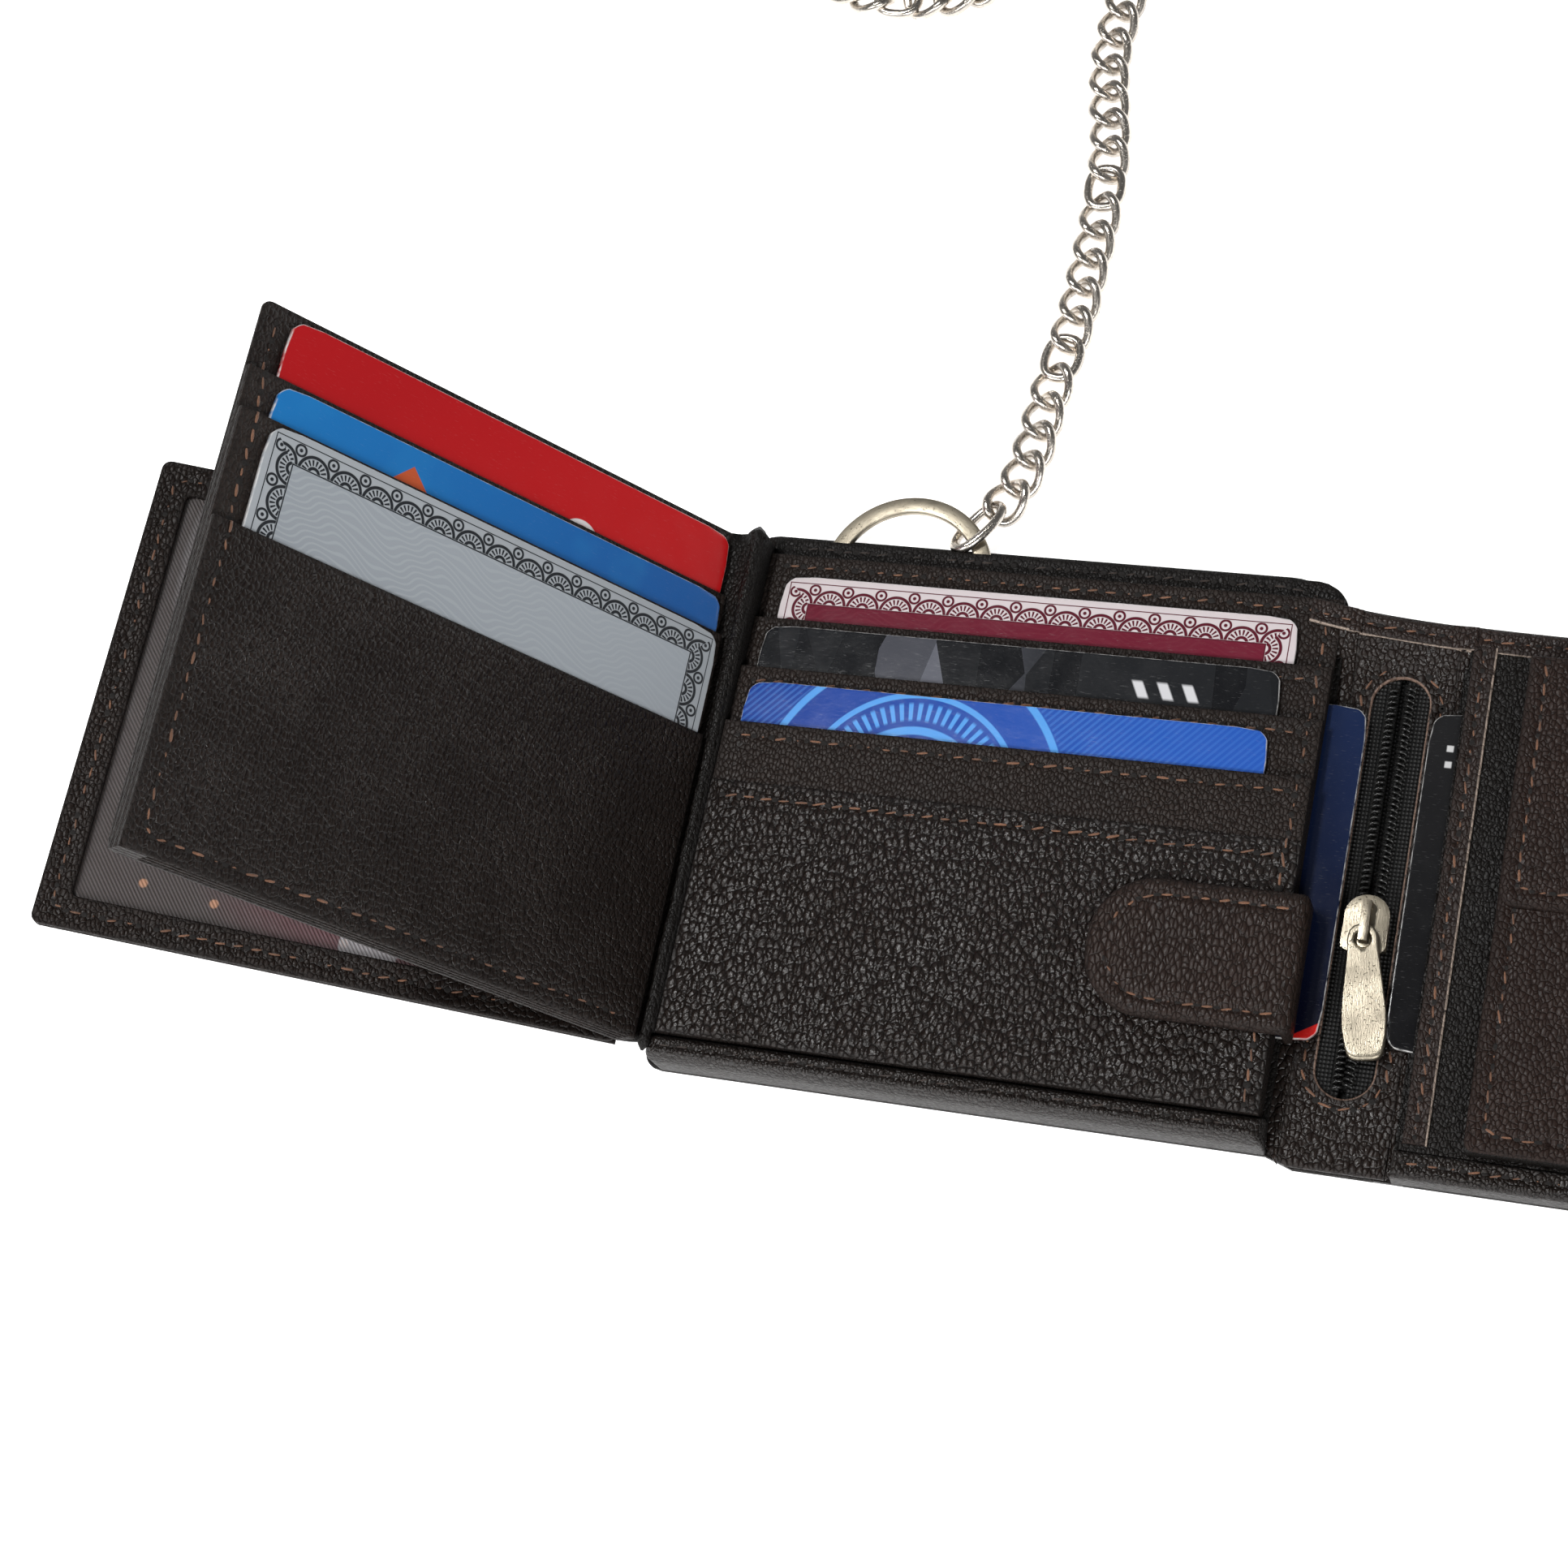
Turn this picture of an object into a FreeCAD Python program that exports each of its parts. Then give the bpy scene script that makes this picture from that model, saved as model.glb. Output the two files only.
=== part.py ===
import FreeCAD, Part
import math
import os
from FreeCAD import Placement, Rotation, Vector

# Bifold chain wallet, opened flat, in millimetres. X runs along the opened wallet, Y up its
# height, Z up from the surface it lies on. The origin is the middle of the left half's underside.
# The left half carries the card panel, the middle is the zipped spine, the right half is the
# coin side. Two pages are hinged on the left edge. A ring and a curb chain hang at the top.

# --- bank cards and the slots that hold them
CARD_W = 85.6
CARD_H = 53.98
CARD_T = 0.76
CARD_R = 3.18
CARD_PLAY = 0.1  # free space on each face of a card
SIDE_PLAY = 0.4  # free space on each edge of a card
SLOT = CARD_T + 2 * CARD_PLAY

# --- leather, lining and clearances
COVER_T = 1.2
LINING_T = 0.4
STRIP_T = 0.4
FACE_T = 0.7
TAB_T = 1.6
CREASE_GAP = 0.3  # between the pieces of the cover at a fold line
PLY_GAP = 0.05  # between plies that lie on each other
MOVE_GAP = 0.3  # between pieces that swing past each other

# --- left half
HALF_W = 102.0
CASE_BOTTOM = -46.2
COVER_TOP = 47.5
LINING_TOP = 46.0
PANEL_TOP = 42.5
COVER_R = 12.0  # the cover's loose top corner beside the spine
CORNER_R = 3.0
NOTE_GAP = 2.2
GUSSET_T = 1.7
PANEL_RIGHT = 48.5
BAND_W = 4.2  # turned edges along the bottom and the top
BAND_DROP = 0.6  # the bottom band's face below the pocket's
BAND_RISE = 0.6  # the bands and the strip above the leather they are sewn on
CARD_LEFTS = (-43.3, -44.4, -44.6)  # where each card's left edge lies, back slot first
CARD_TOPS = (38.4, 28.9, 18.4)
SLOT_EDGES = (30.5, 21.2, 11.0)  # top edge of the strip in front of each card
LOWER_EDGE = 0.6  # top edge of the big lower pocket
PANEL_OVER = 0.8  # how far the lining and the bottom band reach past the panel's right edge
GUSSET_RISE = 1.5  # the hinge gusset above the panel's top
SLIP_CARD_RIGHT = 54.8
SLIP_CARD_BOTTOM = -28.9
SLIP_ROOM = 10.0  # free depth behind each slip card

# --- pages hinged on the left edge, both about the same line
PAGE_BOTTOM = -44.0
PAGE_H = 88.0
PAGE_W = 92.0
PAGE_TILT = 55.0
PAGE_START = 0.4
PAGE_RAIL = 4.0
PAGE_CARD_LEFT = 87.0  # how far the cards reach from the hinge line
PAGE_CARD_TOPS = (42.8, 31.6, 24.7)
PAGE_EDGES = (32.6, 25.4)
FRONT_EDGE = 7.5  # top edge of the page's front pocket
ID_TILT = 17.0
ID_W = 100.0
ID_H = 82.0
ID_START = 4.0
ID_FRAME = 5.5
FILM_T = 0.2
PRINT_T = 0.25

# --- closure tab
TAB_LEFT = 18.8
TAB_BOTTOM = -30.0
TAB_W = 22.0
TAB_OUT = 51.7
SNAP_D = 8.0
SNAP_T = 0.8

# --- zipped spine
SPINE_W = 16.7
SPINE_BOTTOM = -47.7
SPINE_TOP = 41.0
SPINE_LEATHER_T = 0.7
SPINE_BAND_T = 1.2
TAPE_T = 0.35
ZIP_X = 59.2
OVAL_W = 8.8
OVAL_BOTTOM = -36.5
OVAL_TOP = 31.0
COIL_W = 1.6
COIL_H = 1.3
COIL_GAP = 0.9  # between the two rows
COIL_IN = 1.2  # from the oval's end to the first tooth
TAPE_OVER = 3.0  # tape beyond the oval's ends
TAPE_UNDER = 2.2  # tape under the leather on each side
SLIDER_Y = -9.5
SLIDER_L = 9.0
SLIDER_W = 6.8
PLATE_T = 0.75
BRIDGE_W = 1.4
BRIDGE_H = 1.8
PULL_L = 20.0
PULL_T = 0.9
PULL_WIDE = 6.8  # the pull's plate, at its widest and where it meets the arms
PULL_NARROW = 4.6
PULL_LEAN = 9.0  # degrees that the pull lies off the zip's line

# --- right half
RIGHT_W = 102.0
RIGHT_SETBACK = 1.2
EDGE_STRIP_W = 3.6
SLIP_CARD_LEFT = 64.4
RIGHT_CARD_BOTTOM = -28.6
POUCH_SETBACK = 10.6
POUCH_DEPTH = 3.2
POUCH_W = 84.0
FLAP_BOTTOM = -6.0
FLAP_TOP = 34.0
STUD_D = 10.0
STUD_UP = 9.0  # the snap's centre above the flap's edge
POUCH_WALL = 2.0
FLAP_OVER = 6.0  # the flap's root above the pouch's mouth

# --- ring, anchor, chain and clasp
RING_X = -24.0
RING_Y = 41.0
RING_R = 14.6
RING_BAND = 2.8
RING_T = 1.2
ANCHOR_W = 8.0
ANCHOR_L = 17.0
ANCHOR_T = 0.4
WIRE = 1.5
PITCH = 5.45
LINK_SLACK = 0.45
LINK_OUT = 7.0
LINK_TILT = 35.0
CHAIN_Z = 2.4
LINK_RING_ANGLE = 44.0
RING_SLACK = 1.15  # the first link's extra reach round the ring
SEGMENT_LINKS = (7, 6, 9, 9, 9, 9)
EYE_TILT = 31.0  # against the last link's own tilt
CLASP_W = 13.0
CLASP_L = 24.0
CLASP_T = 3.0
CLASP_WALL = 2.6
GATE_L = 11.0
GATE_T = 1.7
GATE_AT = 6.2  # the gate's pivot from the body's swivel end
COLLAR_L = 4.0
COLLAR_R = 2.35
SHANK_R = 1.0
HEAD_R = 1.7
PIN_D = 1.0
SWIVEL_PLAY = 0.05

# --- heights and places worked out from the sizes above
LINING_Z = COVER_T + NOTE_GAP
SLIP_Z = LINING_Z + LINING_T
BASE_Z = SLIP_Z + SLOT
FIRST_SLOT_Z = BASE_Z + STRIP_T
PLY = SLOT + STRIP_T
POCKET_Z = FIRST_SLOT_Z + 3 * PLY + PLY_GAP
PANEL_Z = POCKET_Z + FACE_T
HINGE_Z = PANEL_Z + MOVE_GAP
TAB_HINGE_Z = BASE_Z + 1.0
LEFT = -HALF_W / 2
RIGHT = HALF_W / 2
HINGE_X = LEFT + 2.0
GUSSET_X = HINGE_X + MOVE_GAP
PANEL_LEFT = GUSSET_X + GUSSET_T
SPINE_LEFT = RIGHT + CREASE_GAP
SPINE_RIGHT = SPINE_LEFT + SPINE_W - 2 * CREASE_GAP
RIGHT_START = SPINE_RIGHT + CREASE_GAP
RIGHT_END = RIGHT_START + RIGHT_W
TAPE_Z = COVER_T + 0.9
LEATHER_Z = TAPE_Z + TAPE_T
SLIDER_Z = LEATHER_Z + COIL_H + 0.1
RIGHT_PANEL_Z = SLIP_Z + SLOT
POUCH_Z = RIGHT_PANEL_Z + FACE_T
POUCH_FACE_Z = POUCH_Z + POUCH_DEPTH
FLAP_Z = POUCH_FACE_Z + FACE_T + 0.15
POUCH_X = RIGHT_START + POUCH_SETBACK
BAND_Y = SPINE_TOP - BAND_W
PAGE_T = 2 * FACE_T + 3 * SLOT + 2 * STRIP_T
PAGE_TOP = PAGE_BOTTOM + PAGE_H

# The chain's route over the table, from the ring to the clasp, chosen by hand. Its first half
# runs straight away from the wallet, then it turns back on itself.
CHAIN_ROUTE = (
    (-8.6, 58.5), (-6.8, 67.0), (-6.0, 77.0), (-4.4, 88.0), (-3.7, 100.0), (-3.4, 113.0),
    (-4.6, 127.0), (-7.0, 140.0), (-6.6, 151.0), (-6.4, 160.0), (-11.0, 168.0), (-19.5, 169.5),
    (-26.0, 163.5), (-31.5, 156.0), (-40.0, 152.8), (-51.0, 152.6), (-62.0, 156.5),
    (-70.5, 164.5), (-73.0, 176.0), (-66.5, 186.0), (-54.0, 190.5), (-40.0, 192.0),
    (-20.0, 191.5), (0.0, 190.0), (20.0, 188.0),
)


def box(x0, x1, y0, y1, z0, z1):
    return Part.makeBox(x1 - x0, y1 - y0, z1 - z0, Vector(x0, y0, z0))


def slab(x0, x1, y0, y1, z0, z1, radii):
    """A flat sheet with round corners. radii: bottom left, bottom right, top right, top left."""
    a, b, c, d = [max(r, 0.01) for r in radii]
    k = 1 - math.sqrt(0.5)
    ends = [
        ((x0, y0 + a), (x0 + a * k, y0 + a * k), (x0 + a, y0)),
        ((x1 - b, y0), (x1 - b * k, y0 + b * k), (x1, y0 + b)),
        ((x1, y1 - c), (x1 - c * k, y1 - c * k), (x1 - c, y1)),
        ((x0 + d, y1), (x0 + d * k, y1 - d * k), (x0, y1 - d)),
    ]
    edges = []
    for i, corner in enumerate(ends):
        start, middle, end = [Vector(x, y, z0) for x, y in corner]
        following = Vector(*ends[(i + 1) % 4][0], z0)
        edges.append(Part.Arc(start, middle, end).toShape())
        if (following - end).Length > 1e-6:
            edges.append(Part.LineSegment(end, following).toShape())
    return Part.Face(Part.Wire(edges)).extrude(Vector(0, 0, z1 - z0))


def fuse(first, *others):
    for other in others:
        first = first.fuse(other)
    return first.removeSplitter()


def disc(x, y, z0, z1, diameter):
    return Part.makeCylinder(diameter / 2, z1 - z0, Vector(x, y, z0))


def rod(x, length, radius):
    """A round bar along X on the clasp's axis."""
    return Part.makeCylinder(radius, length, Vector(x, 0, 0), Vector(1, 0, 0))


def save(name, *solids):
    shape = solids[0] if len(solids) == 1 else Part.makeCompound(list(solids))
    shape.exportStep(os.path.join("parts", name + ".step"))


def card(left, bottom, z):
    return slab(left, left + CARD_W, bottom, bottom + CARD_H, z, z + CARD_T, [CARD_R] * 4)


def pocket(x0, x1, y0, y1, z, card_x, card_y, card_w, face_t):
    """A pocket ply: a face with side and bottom rails under it that leave room for one card."""
    face = box(x0, x1, y0, y1, z + SLOT, z + SLOT + face_t)
    left = box(x0, card_x - SIDE_PLAY, y0, y1, z, z + SLOT)
    right = box(card_x + card_w + SIDE_PLAY, x1, y0, y1, z, z + SLOT)
    bottom = box(x0, x1, y0, card_y - SIDE_PLAY, z, z + SLOT)
    return fuse(face, left, right, bottom)


def on_page(shape, tilt):
    """Swing a piece built lying open to the left of the hinge line up to its page's tilt."""
    swung = shape.copy()
    swung.rotate(Vector(HINGE_X, 0, HINGE_Z), Vector(0, 1, 0), tilt)
    return swung


def left_half():
    inner_bottom = CASE_BOTTOM + BAND_W
    cover = slab(LEFT, RIGHT, CASE_BOTTOM, COVER_TOP, 0, COVER_T,
                 (CORNER_R, 0, COVER_R, CORNER_R))
    save("cover_left", cover)
    save("note_lining_left", box(PANEL_LEFT, PANEL_RIGHT + PANEL_OVER, inner_bottom,
                                 LINING_TOP, LINING_Z, LINING_Z + LINING_T))
    slip_y = SLIP_CARD_BOTTOM - SIDE_PLAY
    slip_top = SLIP_CARD_BOTTOM + CARD_H + SIDE_PLAY
    slip_left = SLIP_CARD_RIGHT - CARD_W - SLIP_ROOM
    base = box(PANEL_LEFT, PANEL_RIGHT, inner_bottom, PANEL_TOP, SLIP_Z, FIRST_SLOT_Z)
    save("card_panel_base", base.cut(
        box(slip_left, PANEL_RIGHT + 1, slip_y, slip_top, SLIP_Z - 1, BASE_Z)))
    for i, (x, top, edge) in enumerate(zip(CARD_LEFTS, CARD_TOPS, SLOT_EDGES)):
        z = FIRST_SLOT_Z + i * PLY
        save(f"card_slot_{i + 1}", pocket(PANEL_LEFT, PANEL_RIGHT, inner_bottom, edge, z,
                                          x, top - CARD_H, CARD_W, STRIP_T))
        save(f"card_panel_{i + 1}", card(x, top - CARD_H, z + CARD_PLAY))
    save("lower_pocket", box(PANEL_LEFT, PANEL_RIGHT, inner_bottom, LOWER_EDGE,
                             POCKET_Z, PANEL_Z))
    save("bottom_binding_left", box(GUSSET_X, PANEL_RIGHT + PANEL_OVER, CASE_BOTTOM,
                                    inner_bottom, COVER_T, PANEL_Z - BAND_DROP))
    save("hinge_gusset", box(GUSSET_X, PANEL_LEFT, inner_bottom, PANEL_TOP + GUSSET_RISE,
                             COVER_T, PANEL_Z))
    save("card_slip_left", card(SLIP_CARD_RIGHT - CARD_W, SLIP_CARD_BOTTOM,
                                SLIP_Z + CARD_PLAY))


def card_page():
    x0, x1 = HINGE_X - PAGE_W, HINGE_X - PAGE_START
    y1 = PAGE_TOP
    z = HINGE_Z - PAGE_T
    back = slab(x0, x1, PAGE_BOTTOM, y1, z, z + FACE_T, (1.5, 0, 0, 1.5))
    save("page_back", on_page(back, PAGE_TILT))
    z += FACE_T
    edges = PAGE_EDGES + (FRONT_EDGE,)
    names = ("page_slot_1", "page_slot_2", "page_front_pocket")
    for i, (name, edge, top) in enumerate(zip(names, edges, PAGE_CARD_TOPS)):
        left = HINGE_X - PAGE_CARD_LEFT
        face_t = FACE_T if i == 2 else STRIP_T
        ply = pocket(x0, x1, PAGE_BOTTOM, edge, z, left, top - CARD_H, CARD_W, face_t)
        save(name, on_page(ply, PAGE_TILT))
        save(f"card_page_{i + 1}", on_page(card(left, top - CARD_H, z + CARD_PLAY), PAGE_TILT))
        z += SLOT + STRIP_T


def id_page():
    x0, x1 = HINGE_X - ID_W, HINGE_X - ID_START
    y0, y1 = PAGE_BOTTOM, PAGE_BOTTOM + ID_H
    z_top = HINGE_Z - PAGE_T - 0.2
    film_z = z_top - FACE_T - FILM_T
    print_z = film_z - PLY_GAP - PRINT_T
    back_z = print_z - PLY_GAP - FACE_T
    frame = slab(x0, x1, y0, y1, z_top - FACE_T, z_top, (1.5, 0, 0, 1.5)).cut(
        slab(x0 + ID_FRAME, x1 - ID_FRAME, y0 + ID_FRAME, y1 - ID_FRAME,
             z_top - 2 * FACE_T, z_top + 1, [1.0] * 4))
    save("id_frame", on_page(frame, ID_TILT))
    inset = 1.5
    save("id_window", on_page(box(x0 + inset, x1 - inset, y0 + inset, y1 - inset,
                                  film_z, film_z + FILM_T), ID_TILT))
    save("id_lining", on_page(box(x0 + inset, x1 - inset, y0 + inset, y1 - inset,
                                  print_z, print_z + PRINT_T), ID_TILT))
    keeper_x = HINGE_X - (TAB_LEFT + SNAP_D - HINGE_X)
    keeper_y = TAB_BOTTOM + TAB_W / 2
    seat = disc(keeper_x, keeper_y, back_z + 0.2, back_z + FACE_T + 1, SNAP_D + 0.1)
    back = slab(x0, x1, y0, y1, back_z, back_z + FACE_T, (1.5, 0, 0, 1.5)).cut(seat)
    save("id_back", on_page(back, ID_TILT))
    save("tab_keeper_page", on_page(disc(keeper_x, keeper_y, back_z + 0.25,
                                         back_z + FACE_T, SNAP_D), ID_TILT))


def tab():
    z0 = PANEL_Z + 0.15
    z1 = z0 + TAB_T
    y1 = TAB_BOTTOM + TAB_W
    wrap_x = TAB_OUT - TAB_T
    r = TAB_W / 2 - 1.0
    top = slab(TAB_LEFT, TAB_OUT, TAB_BOTTOM, y1, z0, z1, (r, 0, 0, r))
    wrap = box(wrap_x, TAB_OUT, TAB_BOTTOM, y1, TAB_HINGE_Z, z1)
    body = fuse(top, wrap)
    outer = [e for e in body.Edges
             if abs(e.CenterOfMass.x - TAB_OUT) < 0.01 and abs(e.CenterOfMass.z - z1) < 0.01]
    body = body.makeFillet(TAB_T * 0.75, outer)
    snap_x, snap_y = TAB_LEFT + SNAP_D, TAB_BOTTOM + TAB_W / 2
    body = body.cut(disc(snap_x, snap_y, z0 - 1, z0 + SNAP_T, SNAP_D + 0.1))
    save("closure_tab", body)
    save("tab_keeper", disc(snap_x, snap_y, z0, z0 + SNAP_T - 0.05, SNAP_D))


def spine():
    x0, x1 = SPINE_LEFT, SPINE_RIGHT
    save("cover_spine", box(x0, x1, SPINE_BOTTOM, SPINE_TOP - 0.5, 0, COVER_T))
    lining = box(x0 + 0.5, x1 - 0.5, SPINE_BOTTOM + 0.4, SPINE_TOP - 1, COVER_T, TAPE_Z)
    lining = lining.cut(box(x0, x1, OVAL_BOTTOM - TAPE_OVER, OVAL_TOP + TAPE_OVER,
                            COVER_T + 0.25, TAPE_Z + 1))
    save("zip_pocket_lining", lining)
    leather = box(x0, x1, SPINE_BOTTOM, BAND_Y, LEATHER_Z, LEATHER_Z + SPINE_LEATHER_T)
    r = OVAL_W / 2
    oval = slab(ZIP_X - r, ZIP_X + r, OVAL_BOTTOM, OVAL_TOP, LEATHER_Z - 1, LEATHER_Z + 3,
                [r - 0.01] * 4)
    save("spine_leather", leather.cut(oval))
    save("top_band_spine", box(x0, x1, BAND_Y, SPINE_TOP, TAPE_Z, LEATHER_Z + SPINE_BAND_T))
    tape_inner = COIL_GAP / 2 + 0.15
    row_inner = COIL_GAP / 2
    tape_out = OVAL_W / 2 + TAPE_UNDER
    tapes, rows = [], []
    for side in (-1, 1):
        xs = sorted((ZIP_X + side * tape_inner, ZIP_X + side * tape_out))
        tapes.append(box(xs[0], xs[1], OVAL_BOTTOM - TAPE_OVER, OVAL_TOP + TAPE_OVER,
                         TAPE_Z, LEATHER_Z))
        xs = sorted((ZIP_X + side * row_inner, ZIP_X + side * (row_inner + COIL_W)))
        rows.append(box(xs[0], xs[1], OVAL_BOTTOM + COIL_IN, OVAL_TOP - COIL_IN,
                        LEATHER_Z, LEATHER_Z + COIL_H))
    save("zip_tapes", *tapes)
    save("zip_coils", *rows)


def slider():
    half_w, half_l = SLIDER_W / 2, SLIDER_L / 2
    y0, y1 = SLIDER_Y - half_l, SLIDER_Y + half_l
    x0, x1 = ZIP_X - half_w, ZIP_X + half_w
    radii = (1.2, 1.2, half_w - 0.1, half_w - 0.1)
    top = slab(x0, x1, y0, y1, SLIDER_Z, SLIDER_Z + PLATE_T, radii)
    under = slab(x0, x1, y0, y1, TAPE_Z - 0.5, TAPE_Z - 0.1, radii)
    post_w = COIL_GAP - 0.2
    post = box(ZIP_X - post_w / 2, ZIP_X + post_w / 2, y1 - 3.4, y1 - 1.4,
               TAPE_Z - 0.5, SLIDER_Z + PLATE_T)
    flange_z = LEATHER_Z + 0.15
    flange_in = COIL_GAP / 2 + COIL_W + 0.45
    flanges = []
    for side in (-1, 1):
        xs = sorted((ZIP_X + side * flange_in, ZIP_X + side * half_w))
        flanges.append(box(xs[0], xs[1], y0 + 0.6, SLIDER_Y + 0.5, flange_z, SLIDER_Z + 0.1))
    bridge_z = SLIDER_Z + PLATE_T
    bridge = box(ZIP_X - BRIDGE_W / 2, ZIP_X + BRIDGE_W / 2, SLIDER_Y - 3.2, SLIDER_Y + 3.2,
                 bridge_z - 0.1, bridge_z + BRIDGE_H)
    bridge = bridge.cut(box(ZIP_X - 2, ZIP_X + 2, SLIDER_Y - 2.3, SLIDER_Y + 2.3,
                            bridge_z - 0.2, bridge_z + BRIDGE_H - 0.5))
    save("zip_slider", fuse(top, under, post, *flanges, bridge))


def pull():
    """Starts with a round bar under the slider's bridge, then two arms and a long plate."""
    bar_y = SLIDER_Y - 1.4
    bar_z = SLIDER_Z + PLATE_T + 0.7
    bar_r = 0.4
    z0, z1 = bar_z - PULL_T / 2, bar_z + PULL_T / 2
    arm_in, arm_out = BRIDGE_W / 2 + 0.4, PULL_NARROW / 2
    bar = Part.makeCylinder(bar_r, 2 * arm_out, Vector(ZIP_X - arm_out, bar_y, bar_z),
                            Vector(1, 0, 0))
    arms = [box(*sorted((ZIP_X + s * arm_in, ZIP_X + s * arm_out)), bar_y - 3.6, bar_y, z0, z1)
            for s in (-1, 1)]
    y_top, y_low = bar_y - 3.0, bar_y - PULL_L
    wide, narrow = PULL_WIDE / 2, PULL_NARROW / 2
    outline = [(-narrow, y_top), (-wide, y_low + 5.0), (-wide + 0.4, y_low + 0.6),
               (-wide + 1.2, y_low), (wide - 1.2, y_low), (wide - 0.4, y_low + 0.6),
               (wide, y_low + 5.0), (narrow, y_top)]
    points = [Vector(ZIP_X + x, y, z0) for x, y in outline]
    plate = Part.Face(Part.makePolygon(points + points[:1])).extrude(Vector(0, 0, PULL_T))
    plate.rotate(Vector(ZIP_X, y_top + 1.0, 0), Vector(0, 0, 1), PULL_LEAN)
    save("zip_pull", fuse(bar, *arms, plate))


def stud_x():
    return POUCH_X + POUCH_W / 2


def stud_y():
    return FLAP_BOTTOM + STUD_UP


def right_half():
    x0, x1 = RIGHT_START, RIGHT_END
    y0, y1 = SPINE_BOTTOM, SPINE_TOP
    inner_bottom, inner_top = y0 + BAND_W, BAND_Y
    save("cover_right", slab(x0, x1, y0, y1 - 0.5, 0, COVER_T, (0, CORNER_R, CORNER_R, 0)))
    save("note_lining_right", box(x0 + 0.4, x1 - BAND_W, inner_bottom, inner_top,
                                  LINING_Z, LINING_Z + LINING_T))
    panel_x = x0 + RIGHT_SETBACK
    card_top = RIGHT_CARD_BOTTOM + CARD_H
    panel = box(panel_x, x1 - BAND_W, inner_bottom, inner_top, SLIP_Z, POUCH_Z)
    slip = box(x0 - 1, SLIP_CARD_LEFT + CARD_W + SLIP_ROOM, RIGHT_CARD_BOTTOM - SIDE_PLAY,
               card_top + SIDE_PLAY, SLIP_Z - 1, RIGHT_PANEL_Z)
    save("coin_panel", panel.cut(slip))
    strip_x = panel_x + 0.4
    save("edge_strip", box(strip_x, strip_x + EDGE_STRIP_W, inner_bottom + 1, inner_top - 0.5,
                           POUCH_Z, POUCH_Z + BAND_RISE))
    save("bottom_band_right", box(x0 + 0.4, x1, y0, inner_bottom, COVER_T, POUCH_Z + BAND_RISE))
    save("top_band_right", box(x0 + 0.4, x1 - BAND_W, inner_top, y1, LINING_Z, POUCH_Z + BAND_RISE))
    save("end_binding_right", box(x1 - BAND_W, x1, inner_bottom, y1,
                                  COVER_T, POUCH_Z + BAND_RISE))
    pouch_x1 = POUCH_X + POUCH_W
    pouch_y1 = FLAP_TOP - FLAP_OVER
    block = box(POUCH_X, pouch_x1, inner_bottom + 0.4, pouch_y1, POUCH_Z, POUCH_FACE_Z)
    hollow = box(POUCH_X + POUCH_WALL, pouch_x1 - POUCH_WALL, inner_bottom + 0.4 + POUCH_WALL,
                 pouch_y1 + 1, POUCH_Z - 1, POUCH_FACE_Z + 1)
    save("coin_pouch_gusset", block.cut(hollow))
    save("coin_pouch_front", slab(POUCH_X, pouch_x1, inner_bottom + 0.4, pouch_y1,
                                  POUCH_FACE_Z, POUCH_FACE_Z + FACE_T, (1.5, 1.5, 0, 0)).cut(
        disc(stud_x(), stud_y(), POUCH_FACE_Z + 0.25, FLAP_Z, STUD_D - 3.9)))
    save("coin_stud", disc(stud_x(), stud_y(), POUCH_FACE_Z + 0.3,
                           POUCH_FACE_Z + FACE_T - 0.02, STUD_D - 4.0))
    save("card_slip_right", card(SLIP_CARD_LEFT, RIGHT_CARD_BOTTOM, SLIP_Z + CARD_PLAY))


def coin_flap():
    flap = slab(POUCH_X, POUCH_X + POUCH_W, FLAP_BOTTOM, FLAP_TOP, FLAP_Z, FLAP_Z + FACE_T,
                (2.5, 2.5, 0, 0))
    save("coin_flap", flap)
    cap = disc(stud_x(), stud_y(), FLAP_Z + FACE_T, FLAP_Z + FACE_T + 0.9, STUD_D)
    rim = [e for e in cap.Edges if abs(e.CenterOfMass.z - FLAP_Z - FACE_T - 0.9) < 0.01]
    save("coin_snap_cap", cap.makeFillet(0.6, rim))


def ring_and_anchor():
    z0 = COVER_T + (NOTE_GAP - RING_T) / 2
    outer = disc(RING_X, RING_Y, z0, z0 + RING_T, 2 * RING_R)
    save("ring", outer.cut(disc(RING_X, RING_Y, z0 - 1, z0 + RING_T + 1,
                                2 * (RING_R - RING_BAND))))
    y_end = RING_Y - RING_R + RING_BAND + 3.2
    y_start = y_end - ANCHOR_L
    x0, x1 = RING_X - ANCHOR_W / 2, RING_X + ANCHOR_W / 2
    strap = box(x0, x1, y_start, y_end, COVER_T + PLY_GAP, LINING_Z - PLY_GAP)
    bore = box(x0 - 1, x1 + 1, RING_Y - RING_R - 1.2, y_end - 1.0,
               COVER_T + PLY_GAP + ANCHOR_T, LINING_Z - PLY_GAP - ANCHOR_T)
    save("ring_anchor", strap.cut(bore))


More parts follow.
